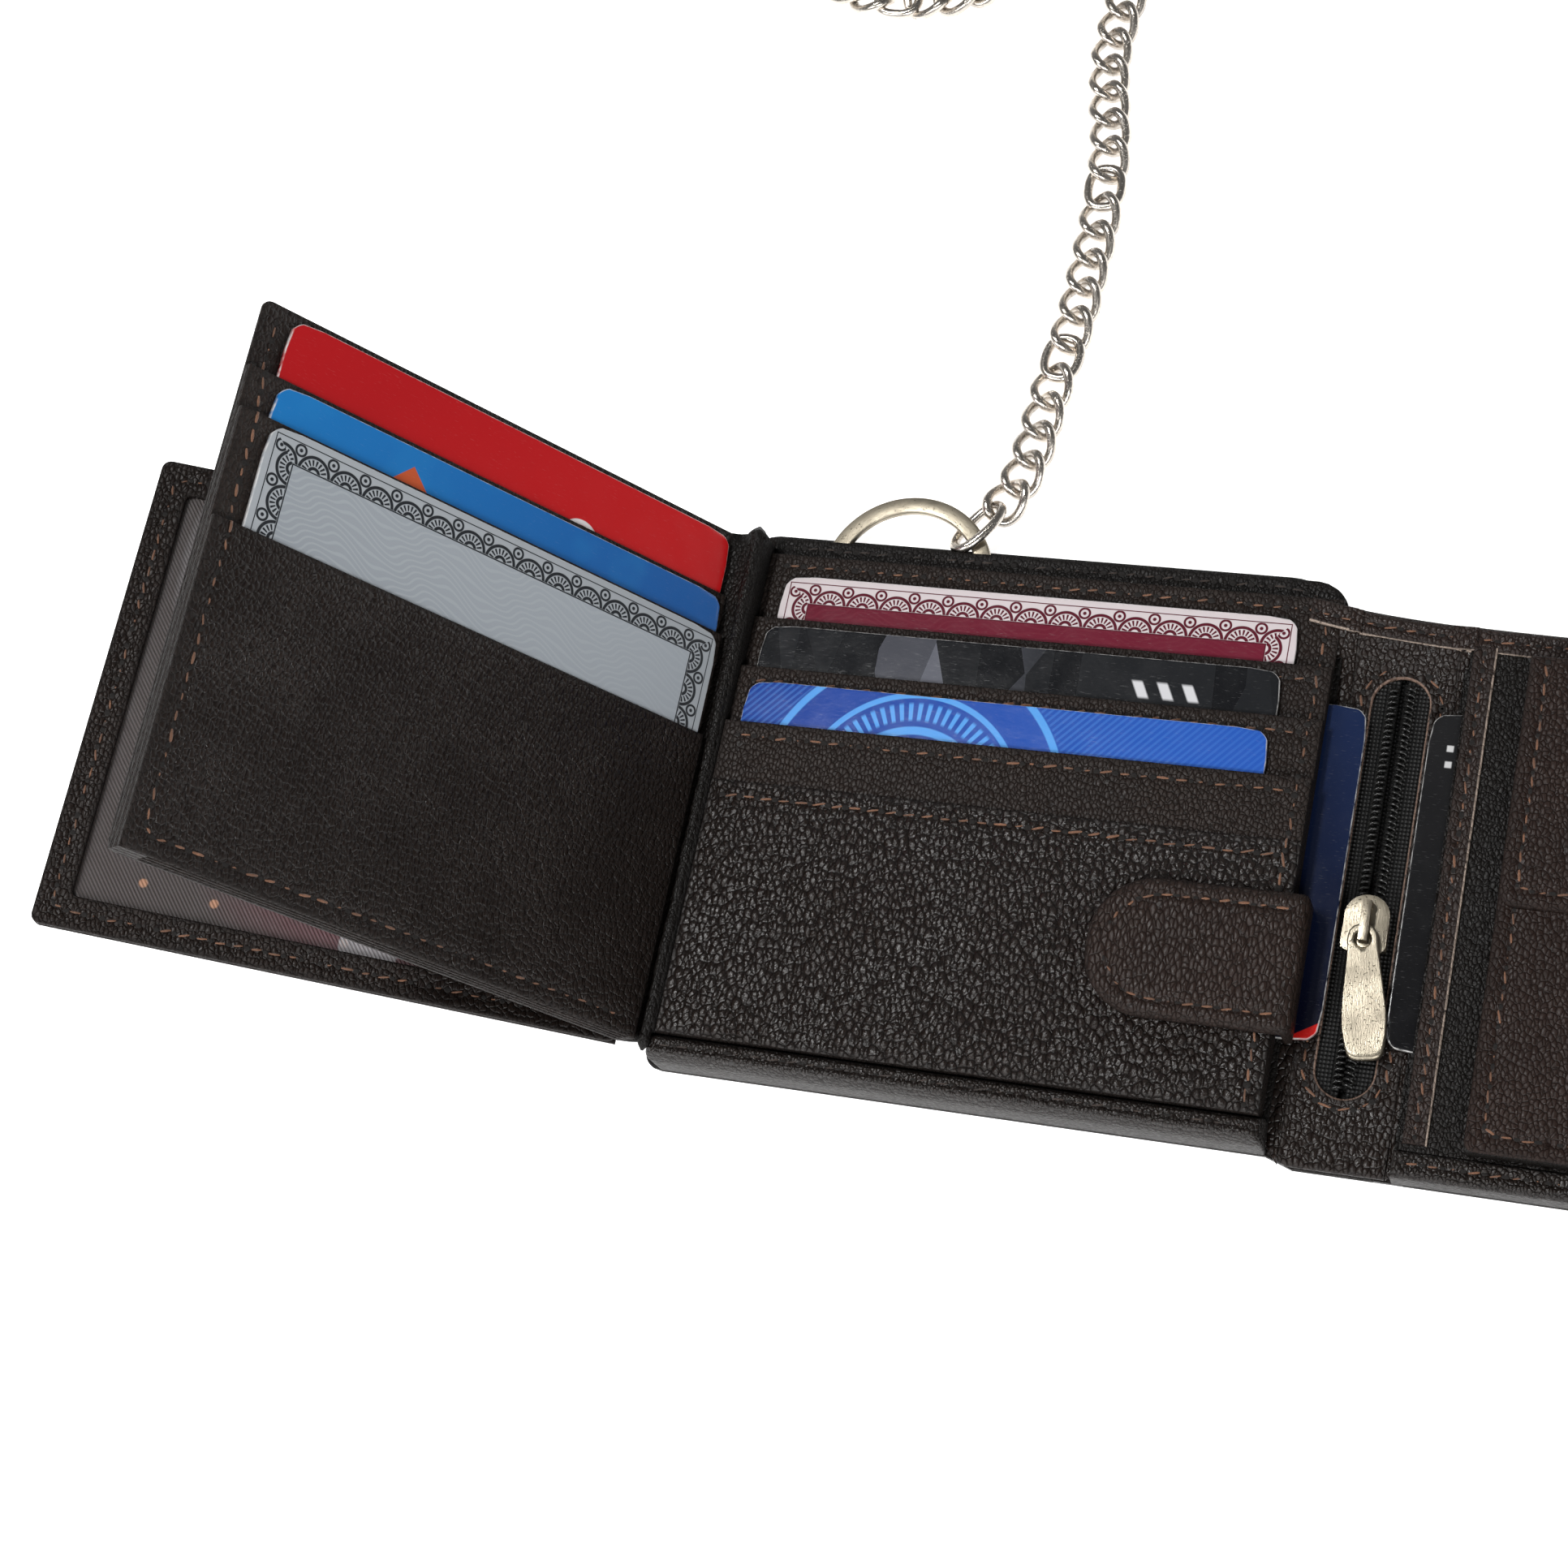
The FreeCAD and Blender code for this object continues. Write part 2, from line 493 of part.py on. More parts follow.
def link(start, end, tilt, reach=0.0):
    """One oval link of round wire between two pivots, turned about its length by tilt."""
    along = end - start
    length = along.Length
    r = WIRE / 2
    bend = (LINK_OUT - WIRE) / 2
    back = r + LINK_SLACK / 2 + reach
    front = length + r + LINK_SLACK / 2
    x0, x1 = -back + bend, front - bend
    near = Part.makeTorus(bend, r, Vector(0, 0, 0), Vector(0, 0, 1), 0, 360, 180)
    far = near.copy()
    near.rotate(Vector(0, 0, 0), Vector(0, 0, 1), 90)
    far.rotate(Vector(0, 0, 0), Vector(0, 0, 1), -90)
    near.translate(Vector(x0, 0, 0))
    far.translate(Vector(x1, 0, 0))
    sides = [Part.makeCylinder(r, x1 - x0, Vector(x0, s * bend, 0), Vector(1, 0, 0))
             for s in (-1, 1)]
    shape = near.fuse([far] + sides)
    heading = math.degrees(math.atan2(along.y, along.x))
    turn = Rotation(Vector(0, 0, 1), heading).multiply(Rotation(Vector(1, 0, 0), tilt))
    shape.Placement = Placement(start, turn)
    return shape


def chain_pivots():
    """Evenly spaced pivots along the route, the first one on the ring's band."""
    a = math.radians(LINK_RING_ANGLE)
    r = RING_R - RING_BAND / 2
    first = Vector(RING_X + r * math.cos(a), RING_Y + r * math.sin(a), CHAIN_Z)
    points = [first] + [Vector(x, y, CHAIN_Z) for x, y in CHAIN_ROUTE]
    curve = Part.BSplineCurve()
    curve.interpolate(points)
    pivots = curve.toShape().discretize(Distance=PITCH)
    return pivots[:sum(SEGMENT_LINKS) + 1]


def chain(pivots):
    first = 0
    for i, count in enumerate(SEGMENT_LINKS):
        links = []
        for k in range(first, first + count):
            reach = RING_BAND / 2 + RING_SLACK if k == 0 else 0.0
            tilt = LINK_TILT if k % 2 else -LINK_TILT
            links.append(link(pivots[k], pivots[k + 1], tilt, reach))
        save(f"chain_{i + 1}", *links)
        first += count


def clasp(pivot, before):
    """Swivel clasp: an eye on a headed shank that turns in the hook's collar, and a gate."""
    wire = WIRE / 2
    eye_r = 3.0
    eye_x = eye_r - wire - LINK_SLACK / 2
    eye = Part.makeTorus(eye_r, wire, Vector(eye_x, 0, 0), Vector(0, 0, 1))
    eye.rotate(Vector(0, 0, 0), Vector(1, 0, 0), EYE_TILT)
    shank_x = eye_x + eye_r
    collar_x = shank_x + 2.2
    shank = rod(shank_x, 5.0, SHANK_R)
    head = rod(collar_x + 1.6, 1.2, HEAD_R)
    eye_piece = fuse(eye, shank, head)
    body_x = collar_x + COLLAR_L - 0.6
    half_w, half_t = CLASP_W / 2, CLASP_T / 2
    collar = rod(collar_x, COLLAR_L, COLLAR_R)
    bores = [rod(collar_x - 1, 6.0, SHANK_R + SWIVEL_PLAY),
             rod(collar_x + 1.5, 1.4, HEAD_R + SWIVEL_PLAY)]
    round_r = half_w - 0.1
    frame = slab(body_x, body_x + CLASP_L, -half_w, half_w, -half_t, half_t, [round_r] * 4)
    inner_r = round_r - CLASP_WALL
    hole = slab(body_x + CLASP_WALL + 1.4, body_x + CLASP_L - CLASP_WALL, -half_w + CLASP_WALL,
                half_w - CLASP_WALL, -CLASP_T, CLASP_T, [inner_r] * 4)
    gate_x = body_x + GATE_AT
    slot = box(gate_x - 0.9, gate_x + GATE_L, half_w - CLASP_WALL - 0.6, half_w + 1,
               -CLASP_T, CLASP_T)
    cheek = box(gate_x - 2.2, gate_x + 1.3, half_w - CLASP_WALL - 1.0, half_w, -half_t, half_t)
    fork = box(gate_x - 1.3, gate_x + 2, half_w - CLASP_WALL - 2, half_w + 1,
               -GATE_T / 2 - 0.1, GATE_T / 2 + 0.1)
    pivot_y = half_w - CLASP_WALL / 2
    pin_hole = disc(gate_x, pivot_y, -CLASP_T, CLASP_T, PIN_D)
    body = fuse(frame.cut(hole).cut(slot), cheek.cut(pin_hole), collar).cut(fork)
    for bore in bores:
        body = body.cut(bore)
    gate = slab(gate_x - 1.0, gate_x + GATE_L - 0.3, pivot_y - 1.0, pivot_y + 1.0,
                -GATE_T / 2, GATE_T / 2, [0.95, 0.3, 0.3, 0.95])
    knob = disc(gate_x + GATE_L * 0.55, pivot_y + 1.3, -GATE_T / 2, GATE_T / 2, 2.4)
    gate = fuse(gate, knob).cut(disc(gate_x, pivot_y, -GATE_T, GATE_T, PIN_D + 0.1))
    pin = disc(gate_x, pivot_y, -half_t, half_t, PIN_D)
    along = pivot - before
    heading = math.degrees(math.atan2(along.y, along.x))
    turn = Rotation(Vector(0, 0, 1), heading)
    names = ("clasp_eye", "clasp_body", "clasp_gate", "clasp_pin")
    for name, shape in zip(names, (eye_piece, body, gate, pin)):
        shape.Placement = Placement(pivot, turn)
        save(name, shape)
    print("clasp heading", round(heading, 3), "gate pivot",
          pivot + turn.multVec(Vector(gate_x, pivot_y, 0)))


def main():
    os.makedirs("parts", exist_ok=True)
    left_half()
    card_page()
    id_page()
    tab()
    spine()
    slider()
    pull()
    right_half()
    coin_flap()
    ring_and_anchor()
    pivots = chain_pivots()
    chain(pivots)
    clasp(pivots[-1], pivots[-2])
    first = 0
    for i, count in enumerate(SEGMENT_LINKS):
        print("chain pivot", i + 1, pivots[first])
        first += count
    print("clasp pivot", pivots[-1])


main()
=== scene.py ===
"""Chain wallet, opened flat: leather, cards, zip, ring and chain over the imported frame."""

import math
import random

import bmesh  # noqa: E402
import bpy  # noqa: E402
from mathutils import Matrix, Vector, noise  # noqa: E402


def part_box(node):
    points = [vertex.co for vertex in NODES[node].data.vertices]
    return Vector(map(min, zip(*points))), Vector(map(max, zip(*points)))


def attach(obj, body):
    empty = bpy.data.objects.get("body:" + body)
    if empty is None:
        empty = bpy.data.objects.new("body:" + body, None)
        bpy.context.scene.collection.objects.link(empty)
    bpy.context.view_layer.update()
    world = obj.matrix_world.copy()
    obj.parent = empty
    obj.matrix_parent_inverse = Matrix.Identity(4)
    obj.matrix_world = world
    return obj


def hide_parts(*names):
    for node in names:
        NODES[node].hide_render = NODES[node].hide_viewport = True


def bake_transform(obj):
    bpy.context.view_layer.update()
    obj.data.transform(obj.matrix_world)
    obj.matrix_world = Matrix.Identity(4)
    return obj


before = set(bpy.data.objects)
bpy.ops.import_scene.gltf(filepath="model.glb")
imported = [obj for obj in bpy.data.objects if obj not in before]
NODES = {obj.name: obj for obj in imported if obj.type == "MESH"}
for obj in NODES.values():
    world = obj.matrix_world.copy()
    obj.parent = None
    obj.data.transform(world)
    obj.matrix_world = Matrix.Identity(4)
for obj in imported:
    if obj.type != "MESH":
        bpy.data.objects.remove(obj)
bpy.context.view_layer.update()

MM = 0.001
HINGE = (-49.0, 0.0, 10.29)  # line about which both pages turn
CARD_PAGE_TILT = 55.0
ID_PAGE_TILT = 17.0
STITCH = 3.0
EDGE_REACH = 1.2  # how far rubbing and raw colour reach in from an edge
CARD_W, CARD_H, CARD_R, CARD_T = 85.6, 53.98, 3.18, 0.76

# The plies, as in the CAD. Page sizes are from the hinge line, with the page lying open.
SLOT_EDGE = (30.5, 21.2, 11.0)  # upper edges of the panel's slot strips
SLIP_ROOM_LEFT = -41.5  # left end of the room for the card pushed in behind the panel
FOLD_ROOM = 2.0  # what each cover leaves for the leather over a fold
BACK_T, STRIP_T, CARD_GAP, RAIL_T = 0.7, 0.4, 0.96, 0.94
PLY = CARD_GAP + STRIP_T
PAGE_T = 2 * BACK_T + 3 * CARD_GAP + 2 * STRIP_T
PAGE_X, PAGE_Y = (-92.0, -0.4), (-44.0, 44.0)
PAGE_SLOT_EDGE, FRONT_EDGE = (32.6, 25.4), 7.5
CARD_LEFT = -87.0
PAGE_CARD_TOPS = (42.8, 31.6, 24.7)
ID_X, ID_Y = (-100.0, -4.0), (-44.0, 38.0)
BAND_TOP = 5.75  # the top band's face over the spine, level with its ends
OVAL_X, OVAL_R, OVAL_Y = 59.2, 4.4, (-36.5, 31.0)  # the zip's opening in the spine leather
PULL_LEAN = 9.0
RING_REACH = 2.55  # how much longer the link on the ring is
FIRST_LINK_TILT = -35.0

UV_MM = 100.0  # a UV map's unit in mm
COPPER_DOTS = ((-86, 22), (-84, -4), (-89, -22), (-79, -13), (-77.5, -15), (-70, -22), (-68, -24),
               (-60, -30), (-58.5, -27.5), (-88, 5), (-80, 32), (-38, -33), (-40, -30),
               (-50, -37), (-30, -36), (-22, -30), (-84, -34), (-72, -35))


# ---------------------------------------------------------------- materials

class Value:
    """A shader output that takes + - * /, each of which adds a math node."""

    def __init__(self, shader, socket):
        self.shader, self.socket = shader, socket

    def __add__(self, other):
        return self.shader.math("ADD", self, other)

    def __sub__(self, other):
        return self.shader.math("SUBTRACT", self, other)

    def __rsub__(self, other):
        return self.shader.math("SUBTRACT", other, self)

    def __mul__(self, other):
        return self.shader.math("MULTIPLY", self, other)

    def __truediv__(self, other):
        return self.shader.math("DIVIDE", self, other)


class Shader:
    """A Principled material and short ways of adding nodes to it."""

    def __init__(self, name, **fixed):
        self.mat = bpy.data.materials.new(name)
        self.mat.use_nodes = True
        self.tree = self.mat.node_tree
        self.bsdf = self.tree.nodes["Principled BSDF"]
        self.set(**fixed)

    def node(self, kind, inputs, output=0, **props):
        n = self.tree.nodes.new(kind)
        for key, value in props.items():
            setattr(n, key, value)
        for key, value in inputs.items():
            self.put(n.inputs[key], value)
        return Value(self, n.outputs[output])

    def put(self, socket, value):
        if isinstance(value, Value):
            self.tree.links.new(value.socket, socket)
        else:
            socket.default_value = value

    def set(self, **inputs):
        for key, value in inputs.items():
            self.put(self.bsdf.inputs[key.replace("_", " ")], value)

    def math(self, op, a, b=0.0):
        return self.node("ShaderNodeMath", {0: a, 1: b, 2: 0.0}, operation=op)

    def sin(self, value):
        return self.math("SINE", value)

    def length(self, a, b):
        return self.math("SQRT", a * a + b * b)

    def mix(self, share, a, b):
        sides = [value if isinstance(value, Value) else (*value, 1.0) for value in (a, b)]
        return self.node("ShaderNodeMix", {0: share, 6: sides[0], 7: sides[1]}, 2,
                         data_type="RGBA")

    def ramp(self, value, low, high, to_low=0.0, to_high=1.0):
        return self.node("ShaderNodeMapRange", {0: value, 1: low, 2: high, 3: to_low, 4: to_high})

    def place(self):
        return self.node("ShaderNodeTexCoord", {}, "Object")

    def uv(self):
        return self.node("ShaderNodeUVMap", {}, uv_map="UVMap")

    def parts(self, vector):
        """The vector's x and y."""
        n = self.tree.nodes.new("ShaderNodeSeparateXYZ")
        self.put(n.inputs[0], vector)
        return [Value(self, n.outputs[i]) for i in (0, 1)]

    def most(self, first, *others):
        for other in others:
            first = self.math("MAXIMUM", first, other)
        return first

    def away(self, value, centre):
        return self.math("ABSOLUTE", value - centre)

    def line(self, value, centre, half):
        """1 where value lies within half of centre."""
        return self.ramp(self.away(value, centre), half, half * 0.7)

    def stretched(self, vector, scale, turn=0.0):
        return self.node("ShaderNodeMapping", {"Vector": vector, "Scale": scale,
                                               "Rotation": (0.0, 0.0, turn)})

    def noise(self, vector, scale, detail=2.0, rough=0.5):
        return self.node("ShaderNodeTexNoise", {"Vector": vector, "Scale": scale,
                                                "Detail": detail, "Roughness": rough})

    def cells(self, vector, scale, feature="F1", output="Distance", **more):
        return self.node("ShaderNodeTexVoronoi", {"Vector": vector, "Scale": scale, **more},
                         output, feature=feature)

    def attribute(self, name):
        return self.node("ShaderNodeAttribute", {}, "Fac", attribute_name=name)

    def bump(self, height, depth):
        return self.node("ShaderNodeBump", {"Height": height, "Distance": depth,
                                            "Strength": 1.0})


def shade(colour, share, lift=0.0):
    return tuple(c * share + lift for c in colour)


def leather(name, base, grain, depth, rough, stretch=(1.0, 0.72, 1.0), turn=0.35, raw=None,
            gloss=0.22):
    """Pebbled leather with painted shade in the grain's creases, rubbed where its edge attribute
    is 1 and pale where raw is 1.
    """
    s = Shader(name, Specular_IOR_Level=gloss)
    at = s.place()
    haze = s.node("ShaderNodeTexNoise", {"Vector": at, "Scale": grain * 0.45, "Detail": 1.0},
                  "Color")
    wander = s.node("ShaderNodeVectorMath", {0: haze, 1: (0.0006, 0.0006, 0.0006)},
                    operation="MULTIPLY")
    moved = s.node("ShaderNodeVectorMath", {0: at, 1: wander}, operation="ADD")
    lie = s.stretched(moved, stretch, turn)
    dome = s.cells(lie, grain, Randomness=0.9)
    crease = s.ramp(s.cells(lie, grain, "DISTANCE_TO_EDGE", Randomness=0.9), 0.0, 0.16)
    small = s.cells(lie, grain * 2.6)
    fibre = s.noise(at, 5200.0, 3.0, 0.7)
    patch = s.noise(at, 70.0, 3.0, 0.6)
    fold = s.noise(s.stretched(at, (1.0, 0.3, 1.0), turn + 0.5), 210.0, 3.0, 0.6)
    height = 1.0 - dome * dome * 1.9 + crease * 0.45 - small * 0.22 + fibre * 0.16 + fold * 1.6
    colour = s.mix(s.ramp(patch, 0.35, 0.7), shade(base, 0.84), shade(base, 1.30, 0.002))
    # Painted shade: the grain's creases are darkened towards half the base colour.
    colour = s.mix(s.ramp(crease, 0.0, 0.8, 1.0, 0.0), colour, shade(base, 0.50))
    edge = s.attribute("edge")
    rub = s.ramp(edge, 0.15, 0.75) * s.ramp(s.noise(at, 600.0), 0.4, 0.65)
    colour = s.mix(rub * 0.5, colour, shade(base, 0.35))
    if raw is not None:
        cut = s.ramp(s.attribute("raw"), 0.72, 0.86) * s.ramp(s.noise(at, 900.0, 3.0), 0.28, 0.42)
        fuzz = s.mix(s.noise(at, 4200.0, 3.0), shade(raw, 0.62), raw)
        colour = s.mix(cut, colour, fuzz)
    shine = s.ramp(s.noise(at, 1500.0), 0.3, 0.7, rough - 0.07, rough + 0.10)
    s.set(Base_Color=colour, Roughness=shine + edge * 0.30,
          Normal=s.bump(height * s.ramp(patch, 0.3, 0.7, 0.65, 1.15), depth))
    return s.mat


def thread(name, base):
    s = Shader(name, Sheen_Weight=0.3)
    twist = s.noise(s.stretched(s.place(), (1.0, 1.0, 1.0)), 3600.0, 2.0, 0.7)
    colour = s.mix(s.attribute("tone"), shade(base, 0.25), base)
    s.set(Base_Color=s.mix(s.ramp(twist, 0.35, 0.7), shade(base, 0.5), colour),
          Roughness=s.ramp(twist, 0.0, 1.0, 0.55, 0.85), Normal=s.bump(twist, 0.00012))
    return s.mat


# Painted shade: near-black for the small discs set at each needle hole, standing for the shade
# inside the hole.
def hole_shade_paint(name):
    s = Shader(name)
    at = s.place()
    s.set(Base_Color=s.mix(s.noise(at, 3000.0), (0.002, 0.0015, 0.001), (0.008, 0.005, 0.004)),
          Roughness=s.ramp(s.noise(at, 2500.0), 0.2, 0.8, 0.8, 0.95))
    return s.mat


def metal(name, base, rough, grime, speck):
    """Plated metal with worn specks and soft scratches."""
    s = Shader(name, Metallic=1.0)
    at = s.place()
    cloud = s.noise(at, 190.0, 4.0, 0.6)
    dots = s.ramp(s.noise(at, 2900.0, 2.0, 0.6), 0.64, 0.70)
    scratch = s.noise(s.stretched(at, (9.0, 1.0, 1.0), 0.5), 900.0)
    colour = s.mix(s.ramp(cloud, 0.42, 0.72) * grime, base, shade(base, 0.42))
    s.set(Base_Color=s.mix(dots * speck, colour, (0.035, 0.026, 0.017)),
          Roughness=s.ramp(cloud, 0.3, 0.75, rough, rough + 0.16) + dots * 0.2,
          Normal=s.bump(scratch + dots * -1.2, 0.00003))
    return s.mat


def zip_cloth(name):
    """Black woven tape: ribs along its length crossed by finer picks."""
    s = Shader(name)
    across, along = s.parts(s.place())
    weave = s.math("ABSOLUTE", s.sin(across * 5200.0)) + s.sin(along * 9500.0) * 0.5
    s.set(Base_Color=s.mix(s.ramp(weave, 0.1, 1.3), (0.0015, 0.0015, 0.0015),
                           (0.011, 0.011, 0.011)),
          Roughness=s.ramp(weave, -0.2, 1.4, 0.7, 0.42), Normal=s.bump(weave, 0.00022))
    return s.mat


def coil_plastic(name):
    s = Shader(name, IOR=1.5)
    at = s.place()
    s.set(Base_Color=s.mix(s.noise(at, 1600.0), (0.004, 0.004, 0.004), (0.018, 0.018, 0.017)),
          Roughness=s.ramp(s.noise(at, 2600.0), 0.3, 0.7, 0.16, 0.34),
          Normal=s.bump(s.noise(at, 4200.0), 0.00003))
    return s.mat


def film(name):
    """Clear vinyl, softly rippled and a little scuffed."""
    s = Shader(name, IOR=1.45)
    at = s.place()
    scuff = s.noise(s.stretched(at, (1.0, 5.0, 1.0), 0.7), 320.0, 5.0, 0.65)
    s.set(Base_Color=s.mix(scuff, (0.20, 0.18, 0.18), (0.34, 0.32, 0.32)),
          Roughness=s.ramp(scuff, 0.3, 0.7, 0.16, 0.34),
          Alpha=s.ramp(scuff, 0.35, 0.75, 0.02, 0.05), Normal=s.bump(s.noise(at, 46.0), 0.0009))
    return s.mat


def printed_twill(name):
    """Dark twill lining with a soft blot, dull red patches, copper dots and a pale disc."""
    s = Shader(name, Sheen_Weight=0.2)
    at = s.uv()
    x, y = (v * UV_MM for v in s.parts(at))
    twill = s.sin((x + y * 0.8) * 9.0)

    def inside(cx, cy, rx, ry, soft):
        return s.ramp(s.length((x - cx) / rx, (y - cy) / ry), 1.0, 1.0 - soft)

    colour = s.mix(s.ramp(twill, -0.7, 0.8), (0.021, 0.0135, 0.0125), (0.044, 0.029, 0.027))
    red = inside(-46.0, -32.0, 30.0, 11.0, 0.5) * s.ramp(s.noise(at, 6.0, 3.0), 0.42, 0.52)
    colour = s.mix(red, colour, s.mix(s.ramp(twill, -0.5, 0.5), (0.055, 0.012, 0.017),
                                      (0.085, 0.020, 0.026)))
    blot = inside(-82.0, 22.0, 11.0, 23.0, 0.3) * s.ramp(s.noise(at, 14.0, 4.0), 0.40, 0.50)
    colour = s.mix(blot, colour, (0.20, 0.19, 0.20))
    for cx, cy in COPPER_DOTS:
        colour = s.mix(inside(cx, cy, 0.85, 0.85, 0.3), colour, (0.36, 0.17, 0.09))
    disc = inside(-46.0, -37.0, 5.0, 5.0, 0.05) * s.ramp(twill, -1.0, 1.0, 0.7, 1.0)
    s.set(Base_Color=s.mix(disc, colour, (0.26, 0.25, 0.26)),
          Roughness=s.ramp(twill, -1.0, 1.0, 0.5, 0.36), Normal=s.bump(twill, 0.00006))
    return s.mat


def card_face(name, paint):
    """Printed plastic card. paint(shader, x, y) gives the art's colour, x and y in mm."""
    s = Shader(name, Specular_IOR_Level=0.35)
    x, y = (v * UV_MM for v in s.parts(s.uv()))
    place = s.place()
    wear = s.ramp(s.attribute("edge"), 0.86, 0.97) * s.ramp(s.noise(place, 700.0), 0.3, 0.6)
    colour = s.mix(wear, paint(s, x, y), (0.62, 0.61, 0.60))
    scuff = s.ramp(s.noise(s.stretched(place, (1.0, 6.0, 1.0), 0.9), 900.0, 4.0), 0.62, 0.72)
    s.set(Base_Color=s.mix(scuff * 0.025, colour, (0.7, 0.7, 0.7)),
          Roughness=s.ramp(s.noise(place, 240.0), 0.3, 0.7, 0.10, 0.15) + scuff * 0.1,
          Normal=s.bump(s.noise(place, 1500.0), 0.00001))
    return s.mat


def scallop_border(s, x, y):
    """A plain border of arches, ribs and dots between two rules, as a share of ink."""
    period = 5.7
    top = CARD_H - y
    side = s.math("MINIMUM", x, CARD_W - x)
    d = s.math("MINIMUM", s.math("MINIMUM", side, top), y)
    on_side = s.math("LESS_THAN", side, s.math("MINIMUM", top, y))
    along = x * (1.0 - on_side) + y * on_side
    u = s.math("MODULO", along + 0.1, period) - period / 2
    v = 5.0 - d
    r = s.length(u, v)
    ribs = s.ramp(s.sin(s.math("ARCTAN2", v, u) * 18.0), -0.1, 0.2) * s.line(r, 1.75, 0.55)
    arch = s.most(s.line(r, 2.6, 0.30), s.line(r, 0.9, 0.30), ribs)
    dot_r = s.length(s.math("ABSOLUTE", u) - period / 2, d - 2.3)
    dots = s.most(s.line(dot_r, 0.0, 0.35), s.line(dot_r, 0.85, 0.22))
    ink = s.most(arch, dots) * (s.ramp(d, 1.3, 1.35) * s.ramp(d, 4.75, 4.7))
    return s.most(ink, s.line(d, 1.2, 0.1), s.line(d, 4.9, 0.17)), s.ramp(d, 4.95, 5.0)


def guilloche(s, x, y):
    """Fine wavy rules, from 0 to 1."""
    t = y + s.sin(x * 0.33) * 1.6 + s.sin(x * 0.9 + y) * 0.4
    return s.ramp(s.sin(t * (6.283 / 1.1)), 0.2, 0.8)


def paint_bordered(ground, fine, ink_colour, paper):
    def paint(s, x, y):
        ink, inner = scallop_border(s, x, y)
        field = s.mix(s.ramp(x * 0.6 + y, 20.0, 95.0), ground, shade(ground, 1.35))
        field = s.mix(guilloche(s, x, y) * 0.45, field, fine)
        return s.mix(inner, s.mix(ink, paper, ink_colour), field)
    return paint


def paint_red(s, x, y):
    # Painted shade: the plain red face darkens towards its upper left and lightens towards its
    # lower right.
    colour = s.mix(s.ramp(x - y, -30.0, 70.0), (0.42, 0.006, 0.009), (0.60, 0.012, 0.014))
    ring = s.math("SQRT", s.math("POWER", x - 57.0, 2.0) + s.math("POWER", y - 41.0, 2.0))
    mark = s.most(s.line(ring, 3.4, 0.5), s.line(x, 57.0, 1.2) * s.line(y, 41.0, 1.2))
    return s.mix(mark, colour, (0.75, 0.70, 0.70))


def paint_blue(s, x, y):
    colour = s.mix(s.ramp(x + y * 0.4, 5.0, 95.0), (0.010, 0.185, 0.50), (0.012, 0.105, 0.36))
    cloud = s.ramp(s.noise(s.uv(), 5.0, 3.0), 0.5, 0.75)
    colour = s.mix(cloud * 0.35, colour, (0.03, 0.30, 0.62))
    diamond = s.away(x, 25.0) + s.away(y, 46.5)
    colour = s.mix(s.ramp(diamond, 4.6, 4.4), colour, (0.50, 0.09, 0.03))
    bars = s.ramp(y, 46.0, 46.1) * s.ramp(y, 47.4, 47.3) * s.most(s.line(x, 10.5, 4.5),
                                                                  s.line(x, 76.0, 3.6))
    return s.mix(bars * 0.75, colour, (0.55, 0.66, 0.80))


def paint_facets(s, x, y):
    """Near-black with grey slivers, like folded paper."""
    lie = s.stretched(s.uv(), (1.0, 0.42, 1.0), 0.35)
    tone = s.node("ShaderNodeSeparateColor", {0: s.cells(lie, 17.0, output="Color")})
    grey = s.mix(s.ramp(tone, 0.62, 1.0), (0.026, 0.027, 0.033), (0.12, 0.125, 0.15))
    base = s.mix(s.ramp(tone, 0.1, 0.5), (0.006, 0.0065, 0.008), (0.013, 0.014, 0.016))
    colour = s.mix(s.ramp(tone, 0.60, 0.64) * s.ramp(x, 52.0, 30.0), base, grey)
    slant = x + y * 0.5
    bars = s.line(y, 48.6, 1.6) * s.most(*(s.line(slant, at, 1.0) for at in (88.0, 92.0, 96.0)))
    return s.mix(bars, colour, (0.60, 0.60, 0.62))


def paint_waves(s, x, y):
    """Mid blue with sweeping pale arcs and fields of fine slanted rules."""
    colour = s.mix(s.ramp(x, 0.0, 70.0), (0.012, 0.045, 0.26), (0.020, 0.090, 0.42))
    dx, dy = x - 30.0, y - 36.0
    r = s.length(dx, dy)
    fan = s.ramp(s.sin(s.math("ARCTAN2", dy, dx) * 64.0), -0.2, 0.4)
    rules = s.ramp(s.sin((x - y * 0.9) * 5.2), -0.1, 0.5)
    pale = s.most(s.line(r, 18.0, 0.55), s.line(r, 12.0, 0.8), fan * s.line(r, 15.2, 1.7),
                  s.line(r, 25.0, 0.7), s.ramp(s.sin(r * 7.0), -0.2, 0.4) * s.ramp(r, 9.5, 9.0))
    fields = rules * s.ramp(r, 25.6, 26.0) * s.ramp(r, 60.0, 30.0, 0.25, 0.7)
    colour = s.mix(fields * 0.55, colour, (0.07, 0.23, 0.62))
    return s.mix(pale * 0.85, colour, (0.10, 0.36, 0.80))


def paint_navy(s, x, y):
    """Deep blue that lightens to the top, a red foot corner and a pale patch by its side."""
    colour = s.mix(s.ramp(y, 4.0, 54.0), (0.003, 0.004, 0.014), (0.009, 0.019, 0.062))
    colour = s.mix(s.ramp(CARD_W - x + y * 1.6, 5.2, 5.0), colour, (0.55, 0.012, 0.010))
    return s.mix(s.line(x, 73.5, 1.6) * s.line(y, 25.0, 3.6), colour, (0.42, 0.45, 0.50))


def paint_black(s, x, y):
    colour = s.mix(s.ramp(y, 0.0, 54.0), (0.005, 0.005, 0.006), (0.013, 0.013, 0.014))
    dots = s.line(x, 3.4, 0.6) * s.most(s.line(y, 48.2, 0.6), s.line(y, 45.6, 0.6))
    return s.mix(dots, colour, (0.55, 0.55, 0.55))


# ---------------------------------------------------------------- mesh helpers

